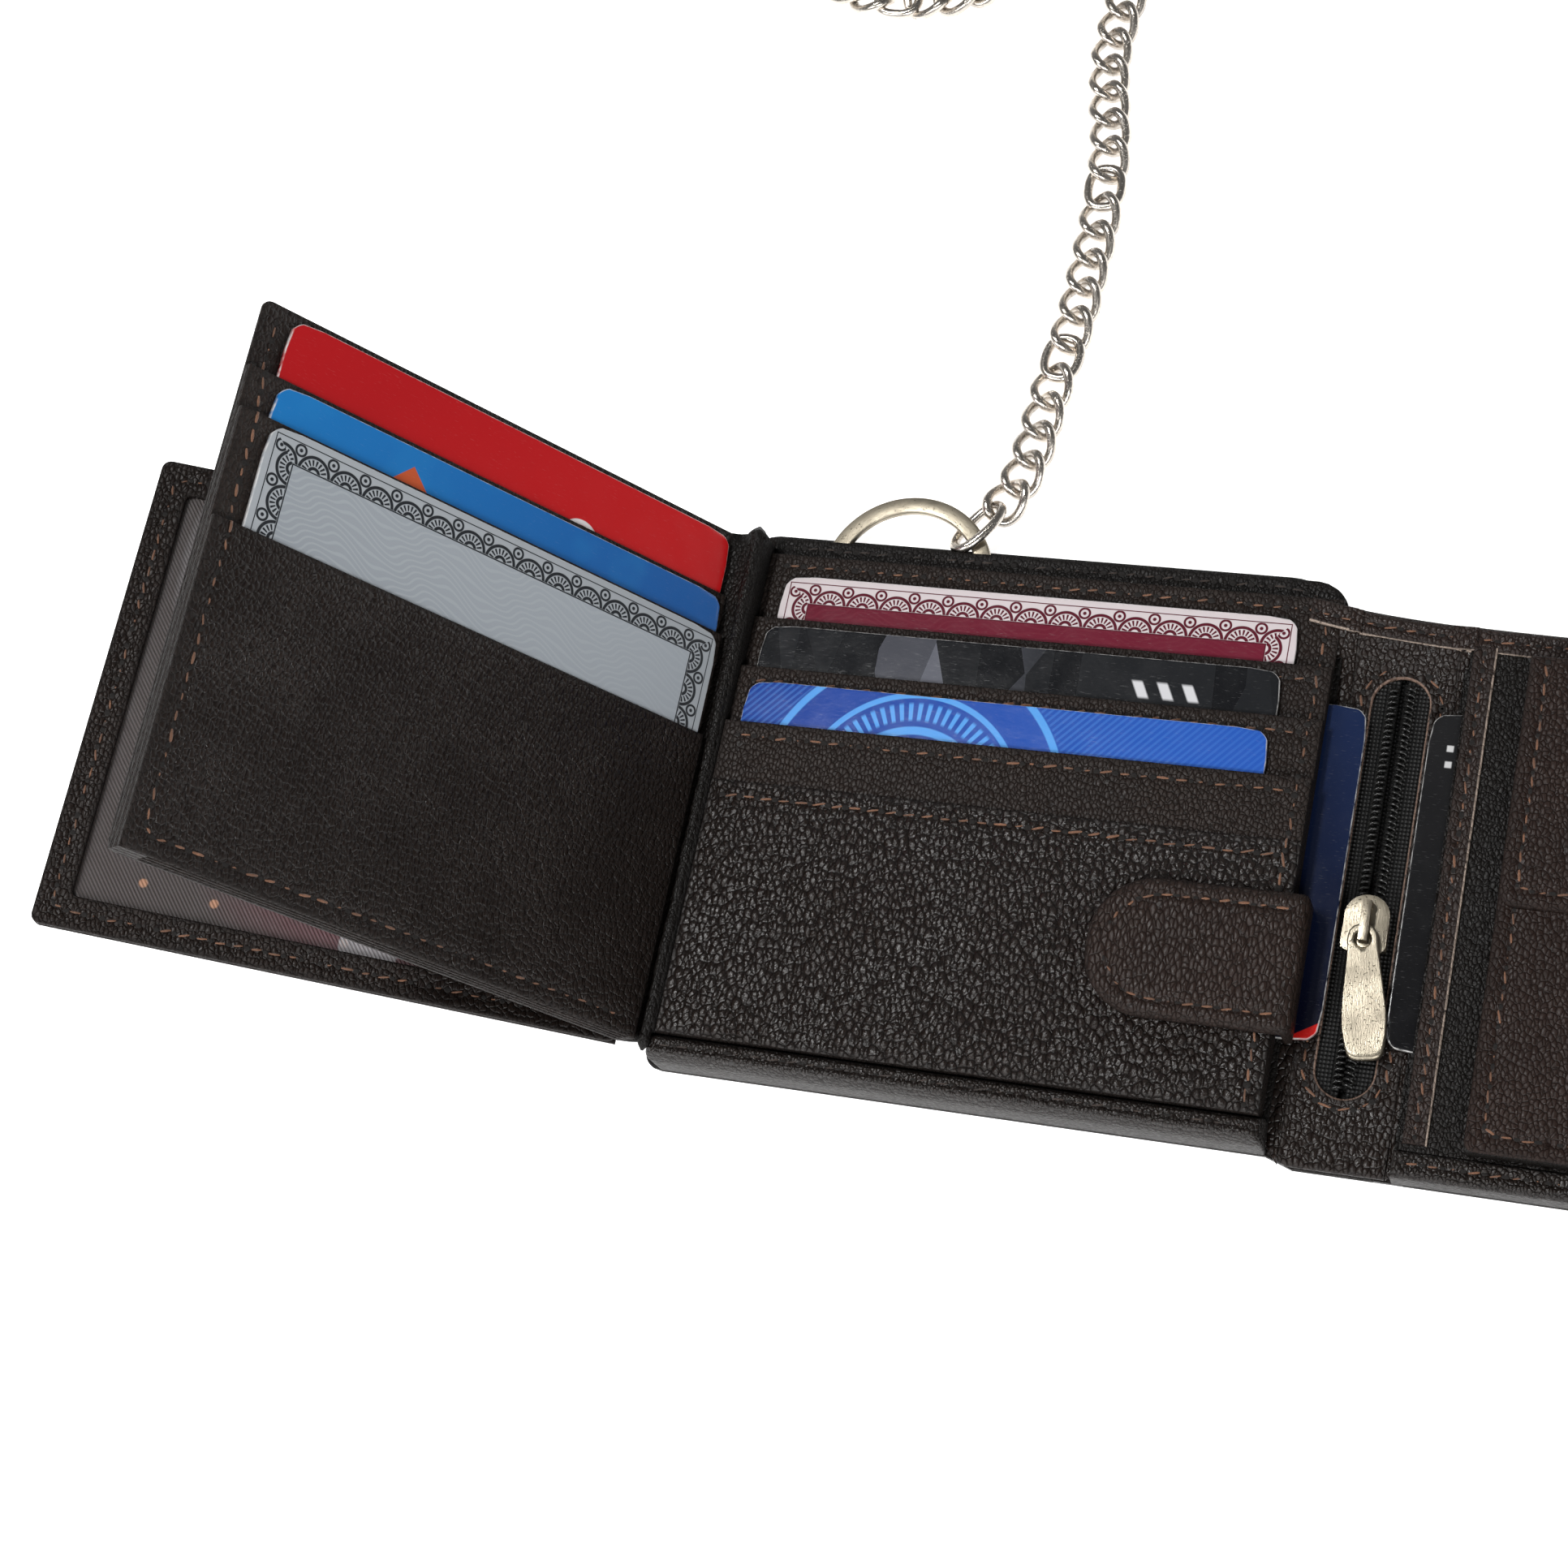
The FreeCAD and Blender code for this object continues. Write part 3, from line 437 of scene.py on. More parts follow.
def finish_mesh(name, verts, faces, mats, place=None, face_mats=None, floats=None, uvs=None):
    """A mesh object from points in mm; floats are point attributes, uvs one pair a point."""
    mesh = bpy.data.meshes.new(name)
    mesh.from_pydata([tuple(c * MM for c in v) for v in verts], [], faces)
    for key, values in (floats or {}).items():
        mesh.attributes.new(key, "FLOAT", "POINT").data.foreach_set("value", values)
    if uvs is not None:
        layer = mesh.uv_layers.new(name="UVMap")
        for loop in mesh.loops:
            layer.data[loop.index].uv = uvs[loop.vertex_index]
    for m in mats:
        mesh.materials.append(m)
    if face_mats is not None:
        mesh.polygons.foreach_set("material_index", face_mats)
    mesh.polygons.foreach_set("use_smooth", [True] * len(mesh.polygons))
    if place is not None:
        mesh.transform(place)
    mesh.validate()
    mesh.update()
    obj = bpy.data.objects.new(name, mesh)
    bpy.context.scene.collection.objects.link(obj)
    return obj


def two_sided(rows, cols, n, base):
    """Faces of a grid n points wide, and of its twin base points on, turned over."""
    faces = []
    for j in range(rows):
        for i in range(cols):
            a, b = j * n + i, j * n + (i + 1) % n
            faces += [(a, b, b + n, a + n), (a + base, a + n + base, b + n + base, b + base)]
    return faces


def rolled(gap, roll):
    """How far a rolled edge has dropped at this distance from it."""
    return roll * (1 - math.sqrt(max(0.0, 1 - (1 - gap / roll) ** 2)))


def smooth(t):
    return t * t * (3 - 2 * t)


def edge_share(gap):
    """1 on an edge, 0 from EDGE_REACH on."""
    return max(0.0, 1.0 - gap / EDGE_REACH)


def page_place(tilt):
    """Page pieces are built lying open, x measured from the hinge line, z from its height."""
    to_hinge = Matrix.Translation([c * MM for c in HINGE])
    return to_hinge @ Matrix.Rotation(math.radians(tilt), 4, "Y")


def rows_between(a, b, roll, step, extra, round_a, round_b):
    near = [roll * (1 - math.cos(math.radians(i * 22.5))) for i in range(5)]
    near += [gap for gap in (0.35, 0.7, 1.2) if gap > roll + 0.1]
    low = [a + n for n in near] if round_a else [a]
    high = [b - n for n in near] if round_b else [b]
    count = max(1, round((high[-1] - low[-1]) / step))
    middle = [low[-1] + (high[-1] - low[-1]) * i / count for i in range(count + 1)]
    rows = sorted(low[:-1] + middle + high[:-1] + [e for e in extra if a < e < b])
    kept = [rows[0]]
    for r in rows[1:]:
        if r - kept[-1] > 0.04:
            kept.append(r)
    kept[-1] = b
    return kept


def seam_distance(x, y, seams):
    best = 1e9
    for seam in seams:
        for (ax, ay), (bx, by) in zip(seam, seam[1:]):
            lx, ly = bx - ax, by - ay
            t = max(0.0, min(1.0, ((x - ax) * lx + (y - ay) * ly) / (lx * lx + ly * ly + 1e-9)))
            best = min(best, math.hypot(x - ax - t * lx, y - ay - t * ly))
    return best


class Sheet:
    """A rectangular ply with rounded corners and rolled edges, in mm.

    Its top never rises above z[1]: puff, seams and waves only press it down.
    """

    def __init__(self, x, y, z, radii=(0, 0, 0, 0), roll=0.3, step=2.0, seams=(), puff=0.0,
                 puff_w=4.0, square="", wave=0.0, groove=0.28, seed=0.0, shape=None, raw=""):
        self.x, self.y, self.z, self.raw = x, y, z, raw
        self.radii = [max(r, 0.02) for r in radii]
        self.roll = min(roll, (z[1] - z[0]) * 0.9)
        self.step, self.seams, self.puff, self.puff_w = step, seams, puff, puff_w
        self.square, self.wave, self.groove, self.seed = square, wave, groove, seed
        self.shape = shape

    def bend_corner(self, x, y):
        """The point on the rounded sheet for a point of the plain rectangle, and its edge gap."""
        (x0, x1), (y0, y1) = self.x, self.y
        gaps = [1e9 if side in self.square else g for side, g in
                (("L", x - x0), ("R", x1 - x), ("B", y - y0), ("T", y1 - y))]
        corners = ((x0, y0, 1, 1), (x1, y0, -1, 1), (x1, y1, -1, -1), (x0, y1, 1, -1))
        for (cx, cy, sx, sy), r in zip(corners, self.radii):
            dx, dy = (x - cx) * sx, (y - cy) * sy
            if dx < r and dy < r and r > 0.1:
                s, t = 1 - dx / r, 1 - dy / r
                s2, t2 = s * math.sqrt(1 - t * t / 2), t * math.sqrt(1 - s * s / 2)
                gap = r * (1 - math.hypot(s2, t2))
                return cx + sx * r * (1 - s2), cy + sy * r * (1 - t2), max(0.0, gap)
        return x, y, max(0.0, min(gaps))

    def drop(self, x, y, gap):
        d = 0.0
        if gap < self.roll:
            d += rolled(gap, self.roll)
        if self.puff and gap < self.puff_w:
            d += self.puff * (1 - gap / self.puff_w) ** 2
        if self.seams:
            away = seam_distance(x, y, self.seams)
            if away < 1.8:
                d += self.groove * math.exp(-(away / 0.6) ** 2)
        if self.wave:
            n = noise.noise(Vector((x * 0.045 + self.seed, y * 0.045, self.seed)))
            d += self.wave * (0.5 + 0.5 * n)
        if self.shape:
            d += self.shape(x, y)
        return d

    def height(self, x, y):
        """The top away from the sheet's edges."""
        return self.z[1] - self.drop(x, y, 9.0)

    def mesh(self, name, mat, place=None, warp=None, uv_from=None):
        extra_x, extra_y = [], []
        for seam in self.seams:
            for (ax, ay), (bx, by) in zip(seam, seam[1:]):
                offsets = (-1.3, -0.75, -0.35, 0.0, 0.35, 0.75, 1.3)
                if abs(ax - bx) < 0.01:
                    extra_x += [ax + o for o in offsets]
                if abs(ay - by) < 0.01:
                    extra_y += [ay + o for o in offsets]
        xs = rows_between(*self.x, self.roll, self.step, extra_x,
                          "L" not in self.square, "R" not in self.square)
        ys = rows_between(*self.y, self.roll, self.step, extra_y,
                          "B" not in self.square, "T" not in self.square)
        top, bottom, edge, raw, uvs = [], [], [], [], []
        (x0, x1), (y0, y1) = self.x, self.y
        ux, uy = uv_from or (0.0, 0.0)
        for y in ys:
            for x in xs:
                px, py, gap = self.bend_corner(x, y)
                z = self.z[1] - self.drop(px, py, gap)
                top.append((px, py, max(z, self.z[0] + 0.02)))
                bottom.append((px, py, self.z[0]))
                edge.append(edge_share(gap))
                cut = [g for side, g in (("L", px - x0), ("R", x1 - px), ("B", py - y0),
                                         ("T", y1 - py)) if side in self.raw]
                raw.append(edge_share(min(cut)) if cut else 0.0)
                uvs.append(((px - ux) * 0.01, (py - uy) * 0.01))
        nx, ny = len(xs), len(ys)
        count = nx * ny
        faces = two_sided(ny - 1, nx - 1, nx, count)
        rim = (list(range(nx)) + [j * nx + nx - 1 for j in range(1, ny)]
               + [(ny - 1) * nx + i for i in range(nx - 2, -1, -1)]
               + [j * nx for j in range(ny - 2, 0, -1)])
        for a, b in zip(rim, rim[1:] + rim[:1]):
            faces.append((a, a + count, b + count, b))
        verts = top + bottom
        if warp is not None:
            verts = [warp(*v) for v in verts]
        floats = {"edge": edge + [e if e > 0.999 else 0.0 for e in edge], "raw": raw + raw}
        return finish_mesh(name, verts, faces, [mat], place, floats=floats, uvs=uvs + uvs)


def rim_sheet(name, outer, inner, z, mat, roll=0.25, place=None, seams=(), steps=7, warp=None):
    """A flat ring of leather between two outlines that have the same number of points."""
    rows = sorted({0.0, 0.02, 0.06, 0.12, 0.88, 0.94, 0.98, 1.0,
                   *(0.12 + 0.76 * i / steps for i in range(1, steps))})
    n = len(outer)
    verts, edge, raw = [], [], []
    for level in (1, 0):
        for f in rows:
            for (ox, oy), (ix, iy) in zip(outer, inner):
                x, y = ox + (ix - ox) * f, oy + (iy - oy) * f
                width = math.hypot(ix - ox, iy - oy)
                gap = min(f, 1 - f) * width
                height = z[1]
                if gap < roll:
                    height -= rolled(gap, roll)
                if seams and level:
                    away = seam_distance(x, y, seams)
                    height -= 0.22 * math.exp(-(away / 0.6) ** 2)
                verts.append((x, y, height if level else z[0]))
                edge.append(edge_share(gap) if level or gap < 0.01 else 0.0)
                raw.append(edge_share((1 - f) * width))
    m, base = len(rows), len(rows) * n
    faces = two_sided(m - 1, n, n, base)
    for i in range(n):
        k = (i + 1) % n
        faces.append((k, i, i + base, k + base))
        a, b = (m - 1) * n + i, (m - 1) * n + k
        faces.append((a, b, b + base, a + base))
    uvs = [(v[0] * 0.01, v[1] * 0.01) for v in verts]
    if warp is not None:
        verts = [warp(*v) for v in verts]
    return finish_mesh(name, verts, faces, [mat], place, floats={"edge": edge, "raw": raw},
                       uvs=uvs)


def rounded(x0, x1, y0, y1, r, sides=24, arc=6):
    """Outline of a rounded rectangle, anticlockwise, with a fixed number of points."""
    out = []
    corners = ((x1 - r, y0 + r, -90), (x1 - r, y1 - r, 0), (x0 + r, y1 - r, 90),
               (x0 + r, y0 + r, 180))
    for k, (cx, cy, start) in enumerate(corners):
        points = [(cx + r * math.cos(math.radians(start + 90 * i / arc)),
                   cy + r * math.sin(math.radians(start + 90 * i / arc))) for i in range(arc + 1)]
        out += points
        nx_, ny_, following = corners[(k + 1) % 4]
        end = (nx_ + r * math.cos(math.radians(following)),
               ny_ + r * math.sin(math.radians(following)))
        for i in range(1, sides):
            t = i / sides
            out.append((points[-1][0] + (end[0] - points[-1][0]) * t,
                        points[-1][1] + (end[1] - points[-1][1]) * t))
    return out


def walk(path, pitch, closed=False):
    """Points and headings every pitch along a polyline."""
    points = list(path) + ([path[0]] if closed else [])
    lengths = [math.dist(a, b) for a, b in zip(points, points[1:])]
    total = sum(lengths)
    count = max(1, round(total / pitch))
    out = []
    for i in range(count + 1):
        s = total * i / count
        k = 0
        while k < len(lengths) - 1 and s > lengths[k]:
            s -= lengths[k]
            k += 1
        a, b = points[k], points[k + 1]
        t = s / max(lengths[k], 1e-9)
        out.append((a[0] + (b[0] - a[0]) * t, a[1] + (b[1] - a[1]) * t,
                    math.atan2(b[1] - a[1], b[0] - a[0])))
    return out


def stitches(name, body, paths, height, place=None, pitch=STITCH, width=0.42, lean=9.0,
             warp=None, bright=True, hole=0.44):
    """Thread between needle holes along each path, with a near-black disc of painted shade at each
    hole, as one piece.
    """
    rnd = random.Random(name)
    verts, faces, kinds, tone = [], [], [], []
    for path in paths:
        spots = walk(path, pitch)
        for (ax, ay, _), (bx, by, _) in zip(spots, spots[1:]):
            cx, cy = (ax + bx) / 2, (ay + by) / 2
            reach = math.dist((ax, ay), (bx, by)) * rnd.uniform(0.38, 0.48)
            turn = math.atan2(by - ay, bx - ax) + math.radians(lean + rnd.uniform(-9, 9))
            side = rnd.uniform(-0.12, 0.12)
            sink = rnd.uniform(0.0, 0.20)
            dx, dy = math.cos(turn), math.sin(turn)
            base = len(verts)
            w = width * rnd.uniform(0.75, 1.15)
            tone += [rnd.uniform(0.1, 1.0)] * 30
            for t, lift, thick in ((-1, -0.26, 0.50), (-0.6, -0.03, 0.90), (0, 0.06, 1.05),
                                   (0.6, -0.03, 0.90), (1, -0.26, 0.50)):
                px = cx + dx * reach * t - dy * side
                py = cy + dy * reach * t + dx * side
                pz = height(px, py) + lift - sink
                for k in range(6):
                    a = math.radians(60 * k)
                    off = math.cos(a) * w / 2 * thick
                    verts.append((px - dy * off, py + dx * off,
                                  pz + math.sin(a) * w * 0.42 * thick))
            for ring in range(4):
                for k in range(6):
                    a, b = base + ring * 6 + k, base + ring * 6 + (k + 1) % 6
                    faces.append((a, a + 6, b + 6, b))
                    kinds.append(0)
            for ring in (0, 4):
                faces.append(tuple(base + ring * 6 + k for k in (range(6) if ring else
                                                               range(5, -1, -1))))
                kinds.append(0)
        # Painted shade: a near-black disc at each needle hole.
        for x, y, heading in spots:
            base = len(verts)
            r = hole * rnd.uniform(0.8, 1.2)
            z = height(x, y) + 0.05
            ring_r = ((r * 1.2, -0.12), (r, 0.0), (r * 0.45, 0.015))
            tone += [0.0] * 24
            for rr, lift in ring_r:
                for k in range(8):
                    a = heading + math.radians(45 * k)
                    verts.append((x + rr * math.cos(a) * 1.1, y + rr * math.sin(a), z + lift))
            for j in range(2):
                for k in range(8):
                    a, b = base + j * 8 + k, base + j * 8 + (k + 1) % 8
                    faces.append((a, b, b + 8, a + 8))
                    kinds.append(1)
            faces.append(tuple(base + 16 + k for k in range(8)))
            kinds.append(1)
    if warp is not None:
        verts = [warp(*v) for v in verts]
    mats = [M["thread"] if bright else M["thread_dark"], M["hole"]]
    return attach(finish_mesh(name, verts, faces, mats, place, face_mats=kinds,
                               floats={"tone": tone}), body)


def tube(points, radius, sides=8, closed=True, base=0, thick=None):
    """Verts and faces of a round wire through points."""
    verts, faces = [], []
    n = len(points)
    side = None
    for i, p in enumerate(points):
        before = points[i - 1] if closed or i else points[i]
        after = points[(i + 1) % n] if closed or i < n - 1 else points[i]
        ahead = (Vector(after) - Vector(before)).normalized()
        if side is None:
            side = ahead.orthogonal()
        side = (side - ahead * side.dot(ahead)).normalized()
        other = ahead.cross(side)
        r = radius if thick is None else radius * thick(i / n)
        for k in range(sides):
            a = 2 * math.pi * k / sides
            v = Vector(p) + side * math.cos(a) * r + other * math.sin(a) * r
            verts.append(tuple(v))
    for i in range(n if closed else n - 1):
        j = (i + 1) % n
        shift = 0
        if closed and j == 0:
            gaps = [(Vector(verts[i * sides]) - Vector(verts[k])).length for k in range(sides)]
            shift = gaps.index(min(gaps))
        for k in range(sides):
            a, b = i * sides + k, i * sides + (k + 1) % sides
            c, d = (j * sides + (k + 1 + shift) % sides, j * sides + (k + shift) % sides)
            faces.append((base + a, base + b, base + c, base + d))
    if not closed:
        faces.append(tuple(base + k for k in range(sides - 1, -1, -1)))
        faces.append(tuple(base + (n - 1) * sides + k for k in range(sides)))
    return verts, faces


def dress(names, mat, bevel=0.0):
    """Give carried-over CAD nodes a material and softened edges."""
    for name in names:
        obj = NODES[name]
        obj.data.materials.clear()
        obj.data.materials.append(M[mat])
        if bevel:
            weld = obj.modifiers.new("weld", "WELD")
            weld.merge_threshold = 1e-6
            soft = obj.modifiers.new("soft", "BEVEL")
            soft.width = bevel * MM
            soft.segments = 3
            soft.limit_method = "ANGLE"
            soft.angle_limit = math.radians(32)
        for p in obj.data.polygons:
            p.use_smooth = bool(bevel)


def stand_for(obj, body, *nodes, slot=None):
    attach(obj, body)
    if nodes:
        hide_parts(*nodes)
    return obj


def mm_box(node):
    low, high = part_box(node)
    return tuple((low[i] / MM, high[i] / MM) for i in range(3))


def ply(stem, node, body, mat, x, y, z, seam=None, sew=None, place=None, warp=None,
        slot="leather_cover", **shape):
    """A leather sheet that stands for a node, if one is named, with stitches if sew is given."""
    sheet = Sheet(x, y, z, seams=[seam] if seam else (), **shape)
    obj = sheet.mesh(stem + "_leather", M[mat], place, warp=warp)
    stand_for(obj, body, *([node] if node else []), slot=slot)
    if sew is not None:
        stitches(stem + "_stitches", body, [seam], sheet.height, place, **sew)
    return sheet


M = {
    "cover": leather("leather_outer", (0.0085, 0.0062, 0.0052), 1350.0, 0.00014, 0.36),
    "panel": leather("leather_panel", (0.0150, 0.0098, 0.0078), 1400.0, 0.00012, 0.40),
    "strip": leather("leather_strip", (0.0145, 0.0092, 0.0072), 1500.0, 0.00012, 0.42),
    "pocket": leather("leather_pocket", (0.0122, 0.0080, 0.0065), 980.0, 0.00030, 0.23,
                      (1.0, 0.74, 1.0), 0.5, gloss=0.42),
    "page": leather("leather_page", (0.0104, 0.0062, 0.0047), 1350.0, 0.00015, 0.36,
                    gloss=0.22),
    "band": leather("leather_band", (0.0125, 0.0086, 0.0070), 1500.0, 0.00018, 0.30, gloss=0.4),
    "tab": leather("leather_tab", (0.0205, 0.0122, 0.0096), 1300.0, 0.00015, 0.36,
                   (1.0, 0.55, 1.0), 0.9),
    "top": leather("leather_top", (0.0215, 0.0126, 0.0100), 1400.0, 0.00015, 0.36,
                   raw=(0.44, 0.35, 0.29), gloss=0.3),
    "spine": leather("leather_spine", (0.0150, 0.0096, 0.0077), 1200.0, 0.00020, 0.30,
                     raw=(0.26, 0.17, 0.13), gloss=0.34),
    "coin": leather("leather_coin", (0.0190, 0.0105, 0.0081), 1400.0, 0.00012, 0.38, gloss=0.2),
    "bind": leather("leather_binding", (0.0055, 0.0041, 0.0034), 1700.0, 0.00010, 0.42),
    "thread": thread("thread_brown", (0.26, 0.112, 0.054)),
    "thread_dark": thread("thread_dark", (0.040, 0.021, 0.013)),
    # Near-black painted shade for the needle holes.
    "hole": hole_shade_paint("needle_hole_shade"),
    "nickel": metal("antique_nickel", (0.40, 0.355, 0.275), 0.30, 0.5, 0.5),
    "chain": metal("bright_nickel", (0.64, 0.59, 0.53), 0.16, 0.6, 0.3),
    "steel": metal("keeper_steel", (0.6, 0.6, 0.6), 0.3, 0.3, 0.2),
    "brass": metal("snap_brass", (0.50, 0.42, 0.28), 0.32, 0.5, 0.5),
    "tape": zip_cloth("zip_tape"),
    "coil": coil_plastic("zip_coil"),
    "film": film("window_film"),
    "print": printed_twill("printed_lining"),
}


# ---------------------------------------------------------------- left half

def left_half():
    (x0, x1), y, z = mm_box("cover_left")
    ply("cover_left", "cover_left", "case", "cover", (x0, x1 - FOLD_ROOM), y, z,
        radii=(3, 0, 10, 3), roll=0.55, square="R", wave=0.05)

    x, y, z = mm_box("note_lining_left")
    x1, y1 = x[1], y[1]
    seam = [(x[0] + 2, y1 - 1.6), (x1 - 9, y1 - 1.6), (x1 - 3.0, y1 - 3.6), (x1 - 1.6, y1 - 8.0)]
    ply("note_lining", "note_lining_left", "case", "bind", x, y, z, seam,
        {"bright": False, "width": 0.34}, slot="leather_inner", radii=(0, 0, 6, 0), groove=0.1)

    x, y, z = mm_box("card_panel_base")
    panel_top, panel_y1 = z[1], y[1]
    seam = [(x[0] + 3, y[1] - 2.0), (x[1] - 3.0, y[1] - 2.0)]
    base = ply("card_panel", "card_panel_base", "case", "strip", x, y, (z[1] - STRIP_T, z[1]),
               seam, slot="leather_inner", roll=0.2, groove=0.12)
    stitches("panel_top_stitches", "case", [seam], base.height)
    rails("card_panel_base", "case", x, y, (z[0], z[1] - 0.42), (SLIP_ROOM_LEFT - x[0], 0.0),
          "bind")

    steps = []
    for i, edge in enumerate(SLOT_EDGE):
        node = f"card_slot_{i + 1}"
        x, y, z = mm_box(node)
        steps.append((edge, z[1]))
        ply(node, node, "case", "strip", x, y, (z[1] - STRIP_T, z[1]),
            [(x[0] + 2.5, y[1] - 2.4), (x[1] - 3.4, y[1] - 2.4)], {"lean": 6.0},
            slot="leather_inner", roll=0.2, groove=0.14)
        card = mm_box(f"card_panel_{i + 1}")[0]
        rails(node, "case", x, y, (z[0], z[1] - 0.42),
              (card[0] - x[0] - 0.4, x[1] - card[1] - 0.4), "strip")

    (x0, x1), (y0, y1), z = mm_box("lower_pocket")

    def sag(x, y):
        """Shallow hollows where the leather isn't stretched."""
        return 0.12 * (1 + math.sin(x * 0.11 + y * 0.07)) * min(1.0, max(0.0, (y1 - 4 - y) / 6))

    pocket = ply("lower_pocket", "lower_pocket", "case", "pocket", (x0, x1), (y0, y1), z,
                 [(x0 + 2.5, y1 - 2.6), (x1 - 3.4, y1 - 2.6)], {}, roll=0.35, puff=0.35,
                 puff_w=5.0, shape=sag)

    def side_height(x, y):
        if y < y1:
            return pocket.height(x, y)
        return max([top for e, top in steps if y < e] or [panel_top]) - 0.03

    side = [(x1 - 2.2, y0 + 1.0), (x1 - 2.2, panel_y1 - 4.0)]
    stitches("panel_side_stitches", "case", [side], side_height, lean=8.0)

    x, y, z = mm_box("bottom_binding_left")
    ply("bottom_band", "bottom_binding_left", "case", "band", x, y, z,
        [(x[0] + 2.0, y[0] + 2.3), (x[1] - 2.0, y[0] + 2.3)], {"bright": False, "width": 0.36},
        radii=(1.5, 0.5, 0, 0), roll=1.5, groove=0.5, puff=1.2, puff_w=1.9, wave=0.25, step=1.5)

    x, y, z = mm_box("hinge_gusset")
    ply("hinge_gusset", "hinge_gusset", "case", "bind", x, y, z, roll=0.8, wave=0.4, step=1.2)
    dress(["ring_anchor"], "bind", 0.15)
    top_band_left()
    hinge_roll(x[0] + 0.35, y[0] - 3.4, y[1] + 1.2, z[1] - 0.65)


def hinge_roll(x, y0, y1, z):
    """The rolled binding along the hinge, knotted at its top and rounded off at its bottom."""
    rnd = random.Random("hinge roll")
    count = 110
    points, widths = [], []
    for i in range(count + 1):
        t = i / count
        n = noise.noise(Vector((t * 14.0, 0.3, 1.7)))
        points.append((x + 0.16 * n, y0 + (y1 - y0) * t, z - 0.10 * n))
        bulb = 0.75 * math.exp(-((t - 0.985) / 0.012) ** 2) + 0.35 * math.exp(-(t / 0.014) ** 2)
        tip = math.sqrt(max(0.02, min(1.0, t * 60, (1 - t) * 60)))
        widths.append((1.0 + 0.12 * rnd.uniform(-1, 1) + bulb) * tip)
    verts, faces = tube(points, 0.95, 10, closed=False,
                        thick=lambda t: widths[round(t * (count + 1))])
    stand_for(finish_mesh("hinge_binding_roll", verts, faces, [M["bind"]],
                          floats={"edge": [0.0] * len(verts)}), "case", slot="leather_cover")


def ease(x, y, z):
    """The opened wallet's top edge falls a little from the card panel to the coin side."""
    share = min(1.0, max(0.0, (y - 28.0) / 8.0))
    shift = 3.5 * math.exp(-(x - 43.5) / 16.0) - 2.0
    return x, y + shift * share, z


def top_band_left():
    """The top band's end, sewn on the card panel and running on over the spine."""
    (_, x1), _, (_, z1) = mm_box("card_panel_base")
    _, (y0, y1), _ = mm_box("top_band_spine")
    x = (x1 - 5.0, x1 + 2.4)
    ply("top_band_left", None, "case", "top", x, (y0 + 0.1, y1 - 0.1), (z1 + 0.02, z1 + 0.55),
        [(x[0] + 0.8, y1 - 2.2), (x[1], y1 - 2.2)], {"warp": ease}, warp=ease, roll=0.25,
        groove=0.2, square="R", step=0.8, raw="B")


def rails(name, body, x, y, z, widths, mat, place=None):
    """Strips under a pocket ply, left and right of the card."""
    for side, width in zip(("left", "right"), widths):
        if width >= 0.3:
            span = (x[0], x[0] + width) if side == "left" else (x[1] - width, x[1])
            rail = Sheet(span, y, z, roll=0.1, step=6.0)
            stand_for(rail.mesh(f"{name}_rail_{side}", M[mat], place), body,
                      slot="leather_inner")


# ---------------------------------------------------------------- cards

def card_piece(node, paint, place=None, corner=None):
    """corner is the card's lower left corner and underside, in its own flat frame."""
    x0, y0, z0 = corner or [span[0] for span in mm_box(node)]
    sheet = Sheet((x0, x0 + CARD_W), (y0, y0 + CARD_H), (z0, z0 + CARD_T), [CARD_R] * 4,
                  roll=0.12, step=4.0)
    obj = sheet.mesh(node + "_plastic", card_face(node + "_print", paint), place,
                     uv_from=(x0, y0))
    stand_for(obj, node, node, slot="card_plastic")


def cards():
    maroon = paint_bordered((0.105, 0.010, 0.022), (0.150, 0.020, 0.035), (0.090, 0.010, 0.020),
                            (0.60, 0.54, 0.55))
    silver = paint_bordered((0.27, 0.295, 0.32), (0.40, 0.43, 0.46), (0.018, 0.020, 0.024),
                            (0.36, 0.385, 0.41))
    for name, paint in (("panel_1", maroon), ("panel_2", paint_facets), ("panel_3", paint_waves),
                        ("slip_left", paint_navy), ("slip_right", paint_black)):
        card_piece("card_" + name, paint)
    place = page_place(CARD_PAGE_TILT)
    for i, (paint, top) in enumerate(zip((paint_red, paint_blue, silver), PAGE_CARD_TOPS)):
        card_piece(f"card_page_{i + 1}", paint, place,
                   (CARD_LEFT, top - CARD_H, -PAGE_T + BACK_T + 0.1 + i * PLY))


# ---------------------------------------------------------------- pages

